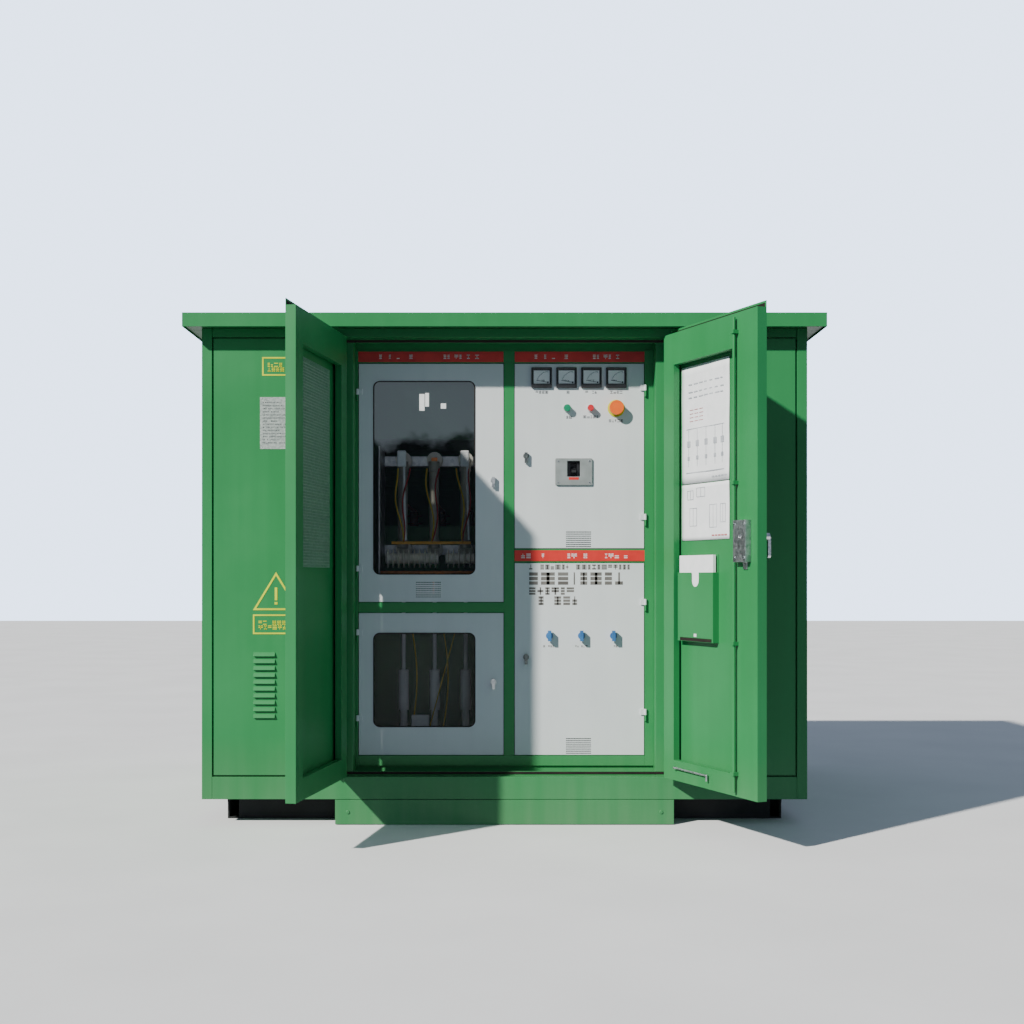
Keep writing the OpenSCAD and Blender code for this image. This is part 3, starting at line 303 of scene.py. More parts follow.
def freezeModifiers(piece):  # the evaluated shape becomes a plain mesh
    bpy.context.view_layer.update()
    graph = bpy.context.evaluated_depsgraph_get()
    mesh = bpy.data.meshes.new_from_object(piece.evaluated_get(graph), preserve_all_data_layers=True,
        depsgraph=graph)
    piece.modifiers.clear()
    piece.data = mesh
    return piece


def roundLoop(width, height, radius, steps=8):  # points of a rounded rectangle about the origin
    points = []
    for cx, cy, start in ((1, 1, 0), (-1, 1, 90), (-1, -1, 180), (1, -1, 270)):
        for step in range(steps + 1):
            angle = math.radians(start + 90 * step / steps)
            points.append((cx * (width / 2 - radius) + radius * math.cos(angle),
                cy * (height / 2 - radius) + radius * math.sin(angle)))
    return points


def tubeAlong(shape, points, radius, closed=False, sides=10, slotIndex=0):
    points = [Vector(p) for p in points]
    rings = []
    count = len(points)
    previous = None
    for index, point in enumerate(points):
        ahead = points[(index + 1) % count] if closed or index + 1 < count else point
        behind = points[index - 1] if closed or index else point
        along = (ahead - behind).normalized()
        side = previous - along * previous.dot(along) if previous is not None else along.orthogonal()
        side.normalize()
        previous = side
        up = along.cross(side)
        rings.append([shape.verts.new(point + radius * (math.cos(t) * side + math.sin(t) * up))
                      for t in turns(sides)])
    pairs = list(zip(rings, rings[1:])) + ([(rings[-1], rings[0])] if closed else [])
    for a, b in pairs:
        for k in range(sides):
            face = shape.faces.new((a[k], a[(k + 1) % sides], b[(k + 1) % sides], b[k]))
            face.material_index = slotIndex
            face.smooth = True
    if not closed:
        shape.faces.new(list(reversed(rings[0]))).material_index = slotIndex
        shape.faces.new(rings[-1]).material_index = slotIndex


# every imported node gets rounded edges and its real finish
edgeRounding = {
    "roof_shell": 0.006, "body_frame": 0.0035, "front_panels": 0.002, "side_panels": 0.002,
    "rear_panels": 0.002,
    "plinth_cover": 0.0035, "door_left_shell": 0.0025, "door_right_shell": 0.0025, "inner_frame": 0.0025,
    "hv_door_upper": 0.0018, "hv_door_lower": 0.0018, "lv_door_upper": 0.0018, "lv_door_lower": 0.0018,
    "transformer_tank": 0.002, "transformer_cover": 0.003, "transformer_core": 0.003,
    "document_pocket": 0.0008,
    "meter_cases": 0.0025, "breaker_bezel": 0.003, "drawing_sheets": 0.0001, "labels": 0.0004,
    "needle": 0.0003,
}
finishOf = {
    "black_paint": blackBitumen, "green_paint": greenPowder, "dark_green_paint": deepGreenPowder,
    "grey_paint": greyPowder,
    "tank_paint": tankPowder, "zinc": zincPlate, "core_steel": laminatedSteel, "red_label": redVinyl,
    "copper_bar": copperBar,
    "rubber_seal": blackRubber, "clear_glass": windowGlass, "paper_sheet": sheetPaper,
    "brown_glaze": brownGlaze,
    "grey_resin": greyResin, "fuse_body": fuseTube, "black_plastic": blackAbs, "grey_plastic": greyAbs,
    "cable_sleeve": cableSleeve, "green_plastic": greenCap, "red_plastic": redCap,
    "orange_plastic": orangeCap,
    "blue_plastic": blueKnob,
}
ownFinish = {"door_handle": satinChrome, "lv_upper_latch": darkZinc, "lv_lower_latch": darkZinc}
plainRounding = {"width": 0.0012, "segments": 2, "angle": 40}  # this width for nodes not listed above
skipNodes = {"door_left_mesh", "labels", "drawing_sheets"}  # drawn in more detail below


def dressNode(node):
    material = ownFinish.get(node, finishOf[slotOf[node]])
    source = frame["nodes"][node]
    shape = bmesh.new()
    shape.from_mesh(source.data)
    bmesh.ops.remove_doubles(shape, verts=shape.verts, dist=1e-6)
    bmesh.ops.dissolve_limit(shape, angle_limit=math.radians(0.5), verts=shape.verts, edges=shape.edges)
    mesh = bpy.data.meshes.new(node + "Finish")
    shape.to_mesh(mesh)
    shape.free()
    mesh.materials.append(material)
    for polygon in mesh.polygons:
        polygon.use_smooth = True
        polygon.material_index = 0
    piece = bpy.data.objects.new(node + "Finish", mesh)
    collection.objects.link(piece)
    width = edgeRounding.get(node, edgeRounding.get(node.rsplit("_", 1)[0], plainRounding["width"]))
    bevel = piece.modifiers.new("roundedEdges", "BEVEL")
    bevel.width = width
    bevel.segments = plainRounding["segments"]
    bevel.limit_method = "ANGLE"
    bevel.angle_limit = math.radians(plainRounding["angle"])
    even = piece.modifiers.new("evenFaces", "WEIGHTED_NORMAL")
    even.weight = 100
    even.keep_sharp = True
    freezeModifiers(piece)
    return finish(piece, bodyOf[node], [node])


for node in sorted(bodyOf):
    if node not in skipNodes:
        dressNode(node)
print("packed nodes dressed")


# leaf frames of the two open front doors
leafInset = {"side": 0.010, "front": 0.014}  # from the hinge axis to the leaf's own edges


def leafPlace(jointName, shellNode, side):
    # maps (distance from the hinge edge, distance in from the outside face, height above the door's foot)
    joint = jointOf[jointName]
    turn = -joint["range_deg"][0] * side  # how far the door stands open
    axis = Vector((joint["pos_m"][0], joint["pos_m"][1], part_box(shellNode)[0].z))
    inset = Matrix.Translation((-side * leafInset["side"], leafInset["front"], 0))
    swing = Matrix.Rotation(math.radians(turn), 4, "Z")
    return Matrix.Translation(axis) @ swing @ inset @ Matrix.Diagonal((-side, 1, 1, 1))


leftLeaf = leafPlace("left_door_hinge", "door_left_shell", -1)
rightLeaf = leafPlace("right_door_hinge", "door_right_shell", 1)
shellLow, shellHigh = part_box("door_right_shell")
doorHeight = shellHigh.z - shellLow.z - 2 * leafInset["front"]
doorWidth = 0.778


# repeated pieces made with geometry nodes
def newTree(name, sizes):
    tree = bpy.data.node_groups.new(name, "GeometryNodeTree")
    tree.interface.new_socket("Geometry", in_out="INPUT", socket_type="NodeSocketGeometry")
    for key, value in sizes.items():
        kind = "NodeSocketInt" if isinstance(value, int) else "NodeSocketFloat"
        tree.interface.new_socket(key, in_out="INPUT", socket_type=kind).default_value = value
    tree.interface.new_socket("Geometry", in_out="OUTPUT", socket_type="NodeSocketGeometry")
    return tree, tree.nodes.new("NodeGroupInput").outputs, tree.nodes.new("NodeGroupOutput")


def growPiece(piece, tree, sizes):  # runs the tree on the piece, then keeps only its mesh
    modifier = piece.modifiers.new(tree.name, "NODES")
    modifier.node_group = tree
    for item in tree.interface.items_tree:
        if item.in_out == "INPUT" and item.name in sizes:
            modifier[item.identifier] = sizes[item.name]
    return freezeModifiers(piece)


screwSizes = {"headRadius": 0.006, "headHeight": 0.003, "washerRadius": 0.008}


def screwTree(sizes=screwSizes):
    tree, given, out = newTree("screwHeads", sizes)
    head = addNode(tree, "GeometryNodeMeshCylinder",
        {"Vertices": 12, "Radius": given["headRadius"], "Depth": given["headHeight"]})
    washer = addNode(tree, "GeometryNodeMeshCylinder",
        {"Vertices": 16, "Radius": given["washerRadius"], "Depth": 0.001})
    socket = addNode(tree, "GeometryNodeMeshCylinder", {"Vertices": 6, "Radius": 0.0028, "Depth": 0.0004})
    lift = addNode(tree, "ShaderNodeCombineXYZ", {"Z": given["headHeight"]})
    raised = addNode(tree, "GeometryNodeTransform",
        {"Geometry": socket.outputs["Mesh"], "Translation": lift.outputs[0]})
    half = addNode(tree, "ShaderNodeVectorMath", {0: lift.outputs[0], "Scale": 0.5}, operation="SCALE")
    headUp = addNode(tree, "GeometryNodeTransform",
        {"Geometry": head.outputs["Mesh"], "Translation": half.outputs[0]})
    plated = addNode(tree, "GeometryNodeJoinGeometry")
    tree.links.new(headUp.outputs[0], plated.inputs[0])
    tree.links.new(washer.outputs["Mesh"], plated.inputs[0])
    platedFinish = addNode(tree, "GeometryNodeSetMaterial",
        {"Geometry": plated.outputs[0], "Material": zincPlate})
    darkFinish = addNode(tree, "GeometryNodeSetMaterial",
        {"Geometry": raised.outputs[0], "Material": blackAbs})
    whole = addNode(tree, "GeometryNodeJoinGeometry")
    tree.links.new(platedFinish.outputs[0], whole.inputs[0])
    tree.links.new(darkFinish.outputs[0], whole.inputs[0])
    facing = addNode(tree, "GeometryNodeInputNamedAttribute", {"Name": "facing"}, data_type="FLOAT_VECTOR")
    aim = addNode(tree, "FunctionNodeAlignRotationToVector", {"Vector": facing.outputs["Attribute"]},
        axis="Z")
    spread = addNode(tree, "GeometryNodeInstanceOnPoints",
        {"Points": given["Geometry"], "Instance": whole.outputs[0], "Rotation": aim.outputs[0]})
    solid = addNode(tree, "GeometryNodeRealizeInstances", {"Geometry": spread.outputs[0]})
    tree.links.new(solid.outputs[0], out.inputs[0])
    return tree


screws = screwTree()


def screwPiece(name, spots, body, sizes=screwSizes):
    mesh = bpy.data.meshes.new(name)
    mesh.from_pydata([spot for spot, facing in spots], [], [])
    facing = mesh.attributes.new("facing", "FLOAT_VECTOR", "POINT")
    facing.data.foreach_set("vector", np.array([way for spot, way in spots], float).ravel())
    piece = bpy.data.objects.new(name, mesh)
    collection.objects.link(piece)
    growPiece(piece, screws, sizes)
    return finish(piece, body)


def between(low, high, count):
    return [low + (high - low) * i / (count - 1) for i in range(count)]


cabinRows = {"inset": 0.024, "lidInset": 0.012, "flange": 0.0085}


def cabinScrews(sizes=cabinRows):
    spots = []
    rim = sizes["lidInset"]
    low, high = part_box("body_frame")
    for x in (low.x + sizes["inset"], high.x - sizes["inset"]):  # rear corner posts
        for z in between(low.z + 0.3, high.z - 0.2, 5):
            spots.append(((x, high.y + 0.0005, z), (0, 1, 0)))
    for side in (-1, 1):  # rails of the two sides
        x = side * (high.x + 0.0005)
        for y in between(low.y + 0.15, high.y - 0.15, 6):
            spots.append(((x, y, low.z + 0.05), (side, 0, 0)))
            spots.append(((x, y, high.z - 0.02), (side, 0, 0)))
    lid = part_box("transformer_cover")
    for x in between(lid[0].x + rim, lid[1].x - rim, 9):
        for y in (lid[0].y + rim, lid[1].y - rim):
            spots.append(((x, y, lid[0].z + sizes["flange"]), (0, 0, 1)))
    for y in between(lid[0].y + rim, lid[1].y - rim, 5)[1:-1]:
        for x in (lid[0].x + rim, lid[1].x - rim):
            spots.append(((x, y, lid[0].z + sizes["flange"]), (0, 0, 1)))
    screwPiece("cabinScrews", spots, "enclosure")


bezelInset = 0.014
smallScrew = {"headRadius": 0.004, "headHeight": 0.002, "washerRadius": 0.005}


def doorScrews():
    spots = []
    facing = (rightLeaf.to_3x3() @ Vector((0, 1, 0))).normalized()
    for a in (0.650, 0.722):
        for z in (1.010, 1.150):
            spots.append((rightLeaf @ Vector((a, 0.0755, z)), facing))
    screwPiece("lockCaseScrews", spots, "right_door")
    bezelLow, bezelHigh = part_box("breaker_bezel")
    across = (bezelLow.x + bezelInset, bezelHigh.x - bezelInset)
    upright = (bezelLow.z + bezelInset, bezelHigh.z - bezelInset)
    spots = [((x, bezelLow.y - 0.0002, z), (0, -1, 0)) for x in across for z in upright]
    screwPiece("bezelScrews", spots, "lv_upper_door", smallScrew)


cabinScrews()
doorScrews()
print("screws made")

ventMesh = {"width": 0.476, "height": 0.894, "wire": 0.0024, "pitch": 0.013}
grilleMesh = {"width": 0.12, "height": 0.08, "wire": 0.0022, "pitch": 0.0075}
grilles = (  # name, door, body, middle, height above the door's foot
    ("hvVentGrille", "hv_door_upper", "hv_upper_door", -0.365, 0.024),
    ("lvVentGrille", "lv_door_upper", "lv_upper_door", 0.354, 0.008),
    ("feederVentGrille", "lv_door_lower", "lv_lower_door", 0.354, 0.008),
)


def gridTree():
    tree, given, out = newTree("wovenGrid", {"width": 0.4, "height": 0.8, "wire": 0.002, "pitch": 0.012})
    parts = []
    for length, span, direction in ((given["width"], given["height"], "Z"),
            (given["height"], given["width"], "X")):
        across = "X" if direction == "Z" else "Z"
        steps = addNode(tree, "ShaderNodeMath", {0: span, 1: given["pitch"]}, operation="DIVIDE")
        size = addNode(tree, "ShaderNodeCombineXYZ",
            {"Y": given["wire"], across: length, direction: given["wire"]})
        wire = addNode(tree, "GeometryNodeMeshCube", {"Size": size.outputs[0]})
        step = addNode(tree, "ShaderNodeCombineXYZ", {direction: given["pitch"]})
        middle = addNode(tree, "ShaderNodeMath", {0: length, 1: 0.5}, operation="MULTIPLY")
        start = addNode(tree, "ShaderNodeCombineXYZ", {across: middle.outputs[0]})
        row = addNode(tree, "GeometryNodeMeshLine",
            {"Count": steps.outputs[0], "Start Location": start.outputs[0], "Offset": step.outputs[0]})
        spread = addNode(tree, "GeometryNodeInstanceOnPoints",
            {"Points": row.outputs[0], "Instance": wire.outputs["Mesh"]})
        parts.append(spread.outputs[0])
    both = addNode(tree, "GeometryNodeJoinGeometry")
    for part in parts:
        tree.links.new(part, both.inputs[0])
    solid = addNode(tree, "GeometryNodeRealizeInstances", {"Geometry": both.outputs[0]})
    # the grid's own finish is the green mesh colour lightened as painted backlight
    painted = addNode(tree, "GeometryNodeSetMaterial", {"Geometry": solid.outputs[0], "Material": meshPaintedBacklight})
    tree.links.new(painted.outputs[0], out.inputs[0])
    return tree


wovenGrid = gridTree()


def gridPiece(name, sizes, place, body, nodes=(), material=None):
    piece = bpy.data.objects.new(name, bpy.data.meshes.new(name))
    collection.objects.link(piece)
    growPiece(piece, wovenGrid, sizes)
    piece.data.transform(place)
    if place.determinant() < 0:
        piece.data.flip_normals()
    if material:
        piece.data.materials.clear()
        piece.data.materials.append(material)
    return finish(piece, body, nodes)


ventPlace = leftLeaf @ Matrix.Translation((0.172, 0.0105, doorHeight - 1.074))
gridPiece("ventMesh", ventMesh, ventPlace, "left_door", ["door_left_mesh"])


def innerVents():
    for name, door, body, x, z in grilles:
        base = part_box(door)[0].z + z - 0.003
        place = Matrix.Translation((x - 0.06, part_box("hv_door_upper")[1].y - 0.0162, base))
        gridPiece(name, grilleMesh, place, body, (), zincPlate)


innerVents()
print("grilles made")


# name strips, plates and warning outlines
signSizes = {"thick": 0.0014, "line": 0.007}


def addOutline(shape, points, line, front, slotIndex=0):  # a flat frame just off the panel, facing -Y
    count = len(points)
    centre = sum((Vector((x, z)) for x, z in points), Vector((0, 0))) / count
    inner = []
    for index in range(count):
        before, here = Vector(points[index - 1]), Vector(points[index])
        after = Vector(points[(index + 1) % count])
        a, b = (here - before).normalized(), (after - here).normalized()
        normalA, normalB = Vector((-a.y, a.x)), Vector((-b.y, b.x))
        mitre = (normalA + normalB).normalized()
        inner.append(here + mitre * (line / max(0.2, mitre.dot(normalA))))
    for y, flip in ((front, False), (front + 0.0012, True)):
        outer3 = [shape.verts.new((x, y, z)) for x, z in points]
        inner3 = [shape.verts.new((p.x, y, p.y)) for p in inner]
        for index in range(count):
            loop = [outer3[index], outer3[(index + 1) % count], inner3[(index + 1) % count], inner3[index]]
            shape.faces.new(loop[::-1] if flip else loop).material_index = slotIndex
        if not flip:
            first = (outer3, inner3)
    for ring, backRing, flip in ((first[0], outer3, False), (first[1], inner3, True)):
        for index in range(count):
            loop = [ring[index], backRing[index], backRing[(index + 1) % count], ring[(index + 1) % count]]
            shape.faces.new(loop[::-1] if flip else loop).material_index = slotIndex


def dashRow(shape, x0, x1, z, height, front, seed, slotIndex, thin=0.0006, density=0.75, place=None,
        bold=0.2):
    # short blocks of uneven length that stand for a printed line, with no lettering
    random = np.random.default_rng(seed)
    x = x0
    while x < x1:
        width = height * random.uniform(0.45, 1.1)
        if random.random() < density and x + width < x1:
            for part in range(3):
                low = z + height * part * 0.36
                if random.random() < 0.8:
                    addBlock(shape, (x, front - thin, low), (x + width, front, low + height * bold), place,
                        slotIndex)
            if random.random() < 0.7:
                addBlock(shape, (x + width * 0.4, front - thin, z),
                    (x + width * (0.35 + bold), front, z + height * (0.72 + bold)), place, slotIndex)
        x += width + height * 0.25


def signPieces(sizes=signSizes):
    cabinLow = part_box("body_frame")[0]
    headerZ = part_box("front_panels")[1].z - 0.008
    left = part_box("front_panels")[0].x
    front = cabinLow.y
    skidZ = cabinLow.z

    def build(shape):
        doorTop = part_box("hv_door_upper")[1].z
        for node in ("hv_door_upper", "lv_door_upper"):
            low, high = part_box(node)
            low, high = low.x, high.x
            if node == "hv_door_upper":
                low += 0.007
            addBlock(shape, (low, stripFront, doorTop + 0.009), (high, stripFront + 0.002, doorTop + 0.059),
                None, 0, 0.0006)
            for start in (0.12, 0.55):
                dashRow(shape, low + start * (high - low), low + (start + 0.3) * (high - low),
                    doorTop + 0.024, 0.022, stripFront, int(start * 100), 1)
        low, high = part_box("lv_door_upper")
        stripTop = low.z - 0.010
        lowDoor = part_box("lv_door_lower")
        addBlock(shape, (lowDoor[0].x - 0.001, stripFront, stripTop - 0.052),
            (lowDoor[1].x - 0.0025, stripFront + 0.002, stripTop), None, 0, 0.0006)
        for start in (0.05, 0.42, 0.72):
            dashRow(shape, lowDoor[0].x + start * 0.6, lowDoor[0].x + (start + 0.2) * 0.6, stripTop - 0.038,
                0.024, stripFront, int(start * 70) + 3, 1)

    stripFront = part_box("inner_frame")[1].y - 0.040 + 0.003
    strips = meshPiece("redNameStrips", build, [redVinyl, inkWhite])
    finish(strips, "enclosure", ["labels"])

    def plates(shape):
        addBlock(shape, (left + 0.224, front - 0.0015, headerZ - 0.515),
            (left + 0.374, front - 0.0001, headerZ - 0.272), None, 0, 0.0005)
        for row in range(14):
            z = headerZ - 0.300 - row * 0.0145
            dashRow(shape, left + 0.237, left + (0.36 if row % 3 else 0.315), z, 0.006, front - 0.0015,
                row + 20, 1, 0.0003, 0.9)
        for x, z in ((0.231, -0.279), (0.367, -0.279), (0.231, -0.508), (0.367, -0.508)):
            addBlock(shape, (left + x - 0.003, front - 0.0028, headerZ + z - 0.003),
                (left + x + 0.003, front - 0.001, headerZ + z + 0.003), None, 2, 0.0012)
    finish(meshPiece("ratingPlate", plates, [plateAluminium, inkGrey, zincPlate]), "enclosure")

    def outlines(shape):
        y = front - sizes["thick"]
        for x0, x1, z0, z1 in ((0.234, 0.364, headerZ - 0.172, headerZ - 0.085),
                (0.191, 0.407, skidZ + 0.772, skidZ + 0.864)):
            addOutline(shape, [(left + x0, z0), (left + x1, z0), (left + x1, z1), (left + x0, z1)],
                sizes["line"], y)
            middle = (z0 + z1) / 2
            for line in (-0.024, -0.002):
                dashRow(shape, left + x0 + 0.026, left + x1 - 0.026, middle + line, 0.020, y + 0.0008,
                    int(x0 * 1000) + int(line * 500), 0, 0.0008, 0.95)
        addOutline(shape, [(left + 0.191, skidZ + 0.884), (left + 0.407, skidZ + 0.884),
            (left + 0.299, skidZ + 1.062)], sizes["line"] * 1.25, y)
        addBlock(shape, (left + 0.293, y, skidZ + 0.93), (left + 0.305, y + 0.001, skidZ + 0.99), None, 0,
            0.0003)
        addBlock(shape, (left + 0.292, y, skidZ + 0.910), (left + 0.306, y + 0.001, skidZ + 0.922), None, 0,
            0.0003)
    finish(meshPiece("yellowMarkings", outlines, [yellowVinyl]), "enclosure")


signPieces()
print("signs made")


# drawing sheets and the folded card on the right door
sheetSizes = {"left": 0.098, "right": 0.500, "fold": 1.348, "low": 1.095, "high": 1.885, "thick": 0.0006,
    "gap": 0.004, "cells": 14}


planBoxes = (  # left, foot, right and top of each box on the lower sheet
    (0.15, 1.28, 0.2, 1.32), (0.23, 1.29, 0.3, 1.33), (0.17, 1.16, 0.23, 1.24),
    (0.34, 1.15, 0.4, 1.25), (0.43, 1.17, 0.47, 1.25),
)


def drawingSheets(sizes=sheetSizes):
    inside = 0.0033  # the door skin's inner face

    def build(shape):
        for z0, z1 in ((sizes["low"], sizes["fold"]), (sizes["fold"] + sizes["gap"], sizes["high"])):
            steps = sizes["cells"]
            rows = []
            for i in range(steps + 1):
                row = []
                for j in range(steps + 1):
                    a = sizes["left"] + (sizes["right"] - sizes["left"]) * i / steps
                    z = z0 + (z1 - z0) * j / steps
                    wave = 0.0012 * math.sin(a * 23 + z * 9) * math.sin(z * 17)
                    row.append(shape.verts.new((a, inside + 0.0022 + wave, z)))
                rows.append(row)
            for i in range(steps):
                for j in range(steps):
                    shape.faces.new((rows[i][j], rows[i][j + 1], rows[i + 1][j + 1], rows[i + 1][j]))
        bmesh.ops.transform(shape, matrix=rightLeaf, verts=shape.verts)
        outward(shape)
    sheets = meshPiece("drawingSheets", build, [sheetPaper], True)
    solid = sheets.modifiers.new("paperThickness", "SOLIDIFY")
    solid.thickness = sizes["thick"]
    freezeModifiers(sheets)

    def card(shape):
        addBlock(shape, (0.114, 0.0122, 0.660), (0.402, 0.0282, 1.027), rightLeaf, 0, 0.0012)
        outward(shape)
    finish(meshPiece("foldedCard", card, [sheetPaper]), "right_door")

    def ink(shape):
        random = np.random.default_rng(7)
        y = inside + 0.0044

        def stroke(a0, z0, a1, z1, slotIndex=0, w=0.0011):
            addBlock(shape, (min(a0, a1) - w, y, min(z0, z1) - w),
                (max(a0, a1) + w, y + 0.0002, max(z0, z1) + w), rightLeaf, slotIndex)
        for z in (1.80, 1.765, 1.74):  # heading lines
            for part in range(7):
                a = 0.16 + part * 0.045
                stroke(a, z, a + random.uniform(0.015, 0.036), z + 0.003)
        for z in (1.685, 1.668, 1.651, 1.634):
            for part in range(3):
                a = 0.17 + part * 0.042
                stroke(a, z, a + 0.03, z, 1)
        for column in (0.16, 0.235, 0.31, 0.385, 0.445):  # single-line diagram: feeders with switches
            stroke(column, 1.43, column, 1.60)
            stroke(column - 0.012, 1.52, column + 0.012, 1.545)
            stroke(column - 0.008, 1.46, column + 0.008, 1.475)
        stroke(0.14, 1.60, 0.46, 1.60)
        stroke(0.14, 1.40, 0.46, 1.402)
        for a0, z0, a1, z1 in planBoxes:
            stroke(a0, z0, a1, z0)
            stroke(a0, z1, a1, z1)
            stroke(a0, z0, a0, z1)
            stroke(a1, z0, a1, z1)
            stroke((a0 + a1) / 2, z0, (a0 + a1) / 2, z1)
        for part in range(5):
            stroke(0.36 + part * 0.026, 1.112, 0.378 + part * 0.026, 1.116, 1)
            stroke(0.36 + part * 0.026, 1.372, 0.378 + part * 0.026, 1.376, 0)
        outward(shape)
    finish(meshPiece("drawingInk", ink, [inkPale, inkRed]), "right_door")
    finish(sheets, "right_door", ["drawing_sheets"])


drawingSheets()
print("sheets made")


# meters, captions and the feeder legend
meterSizes = {"needleSweep": 80, "ticks": 11, "arcRadius": 0.052, "pitch": 0.119, "skin": 0.020}
legendRows = (  # distance down, height and right end of each row
    (0.030, 0.024, 0.615), (0.103, 0.060, 0.615), (0.151, 0.036, 0.355), (0.200, 0.042, 0.355),
)


def meterFaces(sizes=meterSizes):
    def build(shape):
        for number in range(1, 5):
            low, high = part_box(f"needle_{number}")
            pivot = Vector((high.x - 0.004, 0, low.z + 0.004))
            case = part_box("meter_cases")
            face = high.y - 0.0002
            left, bottom = pivot.x - 0.073, pivot.z - 0.007
            addBlock(shape, (left + 0.005, face - 0.0006, bottom + 0.001),
                (left + 0.081, face, bottom + 0.064), None, 0, 0.0002)
            for tick in range(sizes["ticks"]):
                angle = math.radians(10 + sizes["needleSweep"] * tick / (sizes["ticks"] - 1))
                way = Vector((-math.cos(angle), 0, math.sin(angle)))
                reach = sizes["arcRadius"]
                long = 0.007 if tick % 5 == 0 else 0.004
                place = Matrix.Translation(pivot + way * reach + Vector((0, face - 0.0008,
                    0))) @ Matrix.Rotation(angle - math.pi / 2, 4, "Y")
                addBlock(shape, (-0.0007, -0.0003, -long), (0.0007, 0.0003, 0), place, 1)
            arc = []
            for step in range(13):
                angle = math.radians(10 + sizes["needleSweep"] * step / 12)
                arc.append(pivot + Vector((-math.cos(angle) * sizes["arcRadius"], face - 0.0009,
                    math.sin(angle) * sizes["arcRadius"])))
            tubeAlong(shape, arc, 0.0005, False, 5, 1)
            dashRow(shape, pivot.x - 0.045, pivot.x - 0.012, bottom + 0.012, 0.008, face - 0.0006, number, 1,
                0.0003)
            start = case[0].x + (number - 1) * sizes["pitch"]
            low, high = case[0].z + 0.004, case[0].z + 0.016
            addBlock(shape, (start + 0.008, case[0].y - 0.0006, low), (start + 0.09, case[0].y, high), None,
                2, 0.0002)
    finish(meshPiece("meterDials", build, [dialWhite, inkGrey, blackAbs]), "lv_upper_door")

    def captions(shape):
        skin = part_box("lv_door_lower")[1].y - sizes["skin"]
        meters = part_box("meter_cases")
        for number in range(4):
            x = meters[0].x + number * sizes["pitch"] + 0.02
            dashRow(shape, x, x + 0.07, meters[0].z - 0.026, 0.014, skin, number + 40, 0, 0.0004)
        for index, node in enumerate(("button_green", "button_red", "stop_button")):
            low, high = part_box(node)
            middle = (low.x + high.x) / 2
            dashRow(shape, middle - 0.035, middle + 0.04, low.z - 0.032, 0.014, skin, index + 50, 0, 0.0004)
    finish(meshPiece("meterCaptions", captions, [inkGrey]), "lv_upper_door")

    def legend(shape):
        low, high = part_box("lv_door_lower")
        skin = high.y - sizes["skin"]
        for row, (drop, tall, x1) in enumerate(legendRows):
            dashRow(shape, 0.118, x1, high.z - drop, tall, skin, row + 60, 0, 0.0004, 0.98, None, 0.27)
        for index in range(3):
            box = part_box(f"knob_{index + 1}")
            middle = (box[0].x + box[1].x) / 2
            dashRow(shape, middle - 0.03, middle + 0.03, box[0].z - 0.03, 0.010, skin, index + 80, 0, 0.0004)
    finish(meshPiece("feederLegend", legend, [inkBrown]), "lv_lower_door")


meterFaces()

windowTrim = {"cord": 0.006, "corner": 0.03}


def windowSeals(sizes=windowTrim):
    for node, body in (("hv_window_upper", "hv_upper_door"), ("hv_window_lower", "hv_lower_door")):
        low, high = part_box(node)
        middle = (low + high) / 2
        loop = roundLoop(high.x - low.x - 0.024, high.z - low.z - 0.024, sizes["corner"])

        def build(shape):
            tubeAlong(shape, [(middle.x + x, low.y - 0.0022, middle.z + z) for x, z in loop],
                sizes["cord"] / 2, True, 8)
            outward(shape)
        finish(meshPiece(node + "Seal", build, [blackRubber]), body)


windowSeals()


# what shows behind the windows
wiring = {"wire": 0.004, "spacing": 0.155, "behind": 0.05}


def behindWindows(sizes=wiring):
    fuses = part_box("hv_fuses")
    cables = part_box("cable_droppers")
    y = fuses[0].y - sizes["behind"]
    columns = [fuses[0].x + 0.028 + i * sizes["spacing"] for i in range(3)]

    def build(shape):
        addBlock(shape, (columns[0] - 0.05, y - 0.004, fuses[0].z + 0.018),
            (columns[2] + 0.03, y + 0.004, fuses[0].z + 0.032), None, 2, 0.002)
        for column in columns:
            for side, slotIndex in ((-0.03, 0), (0.03, 1)):
                points = []
                for step in range(15):
                    t = step / 14
                    points.append((column + side * (1 - t) + 0.012 * math.sin(t * 7 + column * 9),
                        y - 0.01 * math.sin(t * math.pi),
                        fuses[1].z - 0.04 - t * (fuses[1].z - fuses[0].z - 0.06)))
                tubeAlong(shape, points, sizes["wire"], False, 7, slotIndex)
            points = []
            for step in range(19):
                t = step / 18
                points.append((column + 0.03 + 0.04 * math.sin(t * 3.0),
                    cables[0].y - 0.012 - 0.02 * math.sin(t * math.pi), 0.98 - t * 0.62))
            tubeAlong(shape, points, sizes["wire"], False, 7, 0)
        tubeAlong(shape, [(-0.22, cables[0].y - 0.03, 0.98), (-0.29, cables[0].y - 0.035, 0.72),
            (-0.37, cables[0].y - 0.03, 0.42)], sizes["wire"] * 0.8, False, 7, 0)
        addBlock(shape, (-0.46, cables[0].y - 0.06, 0.40), (-0.375, cables[0].y - 0.02, 0.475), None, 3,
            0.003)
        for column in (columns[0], columns[2]):
            addBlock(shape, (column - 0.022, y - 0.012, 1.70), (column + 0.022, y + 0.012, 1.78), None, 3,
                0.006)
            tubeAlong(shape, [(column + 0.012, y, 1.70), (column + 0.014, y + 0.002, 1.5),
                (column + 0.02, y, 1.34)], sizes["wire"] * 1.4, False, 8, 3)
    finish(meshPiece("switchWiring", build, [wireYellow, wireRed, orangeBar, dialWhite]), "enclosure")


behindWindows()


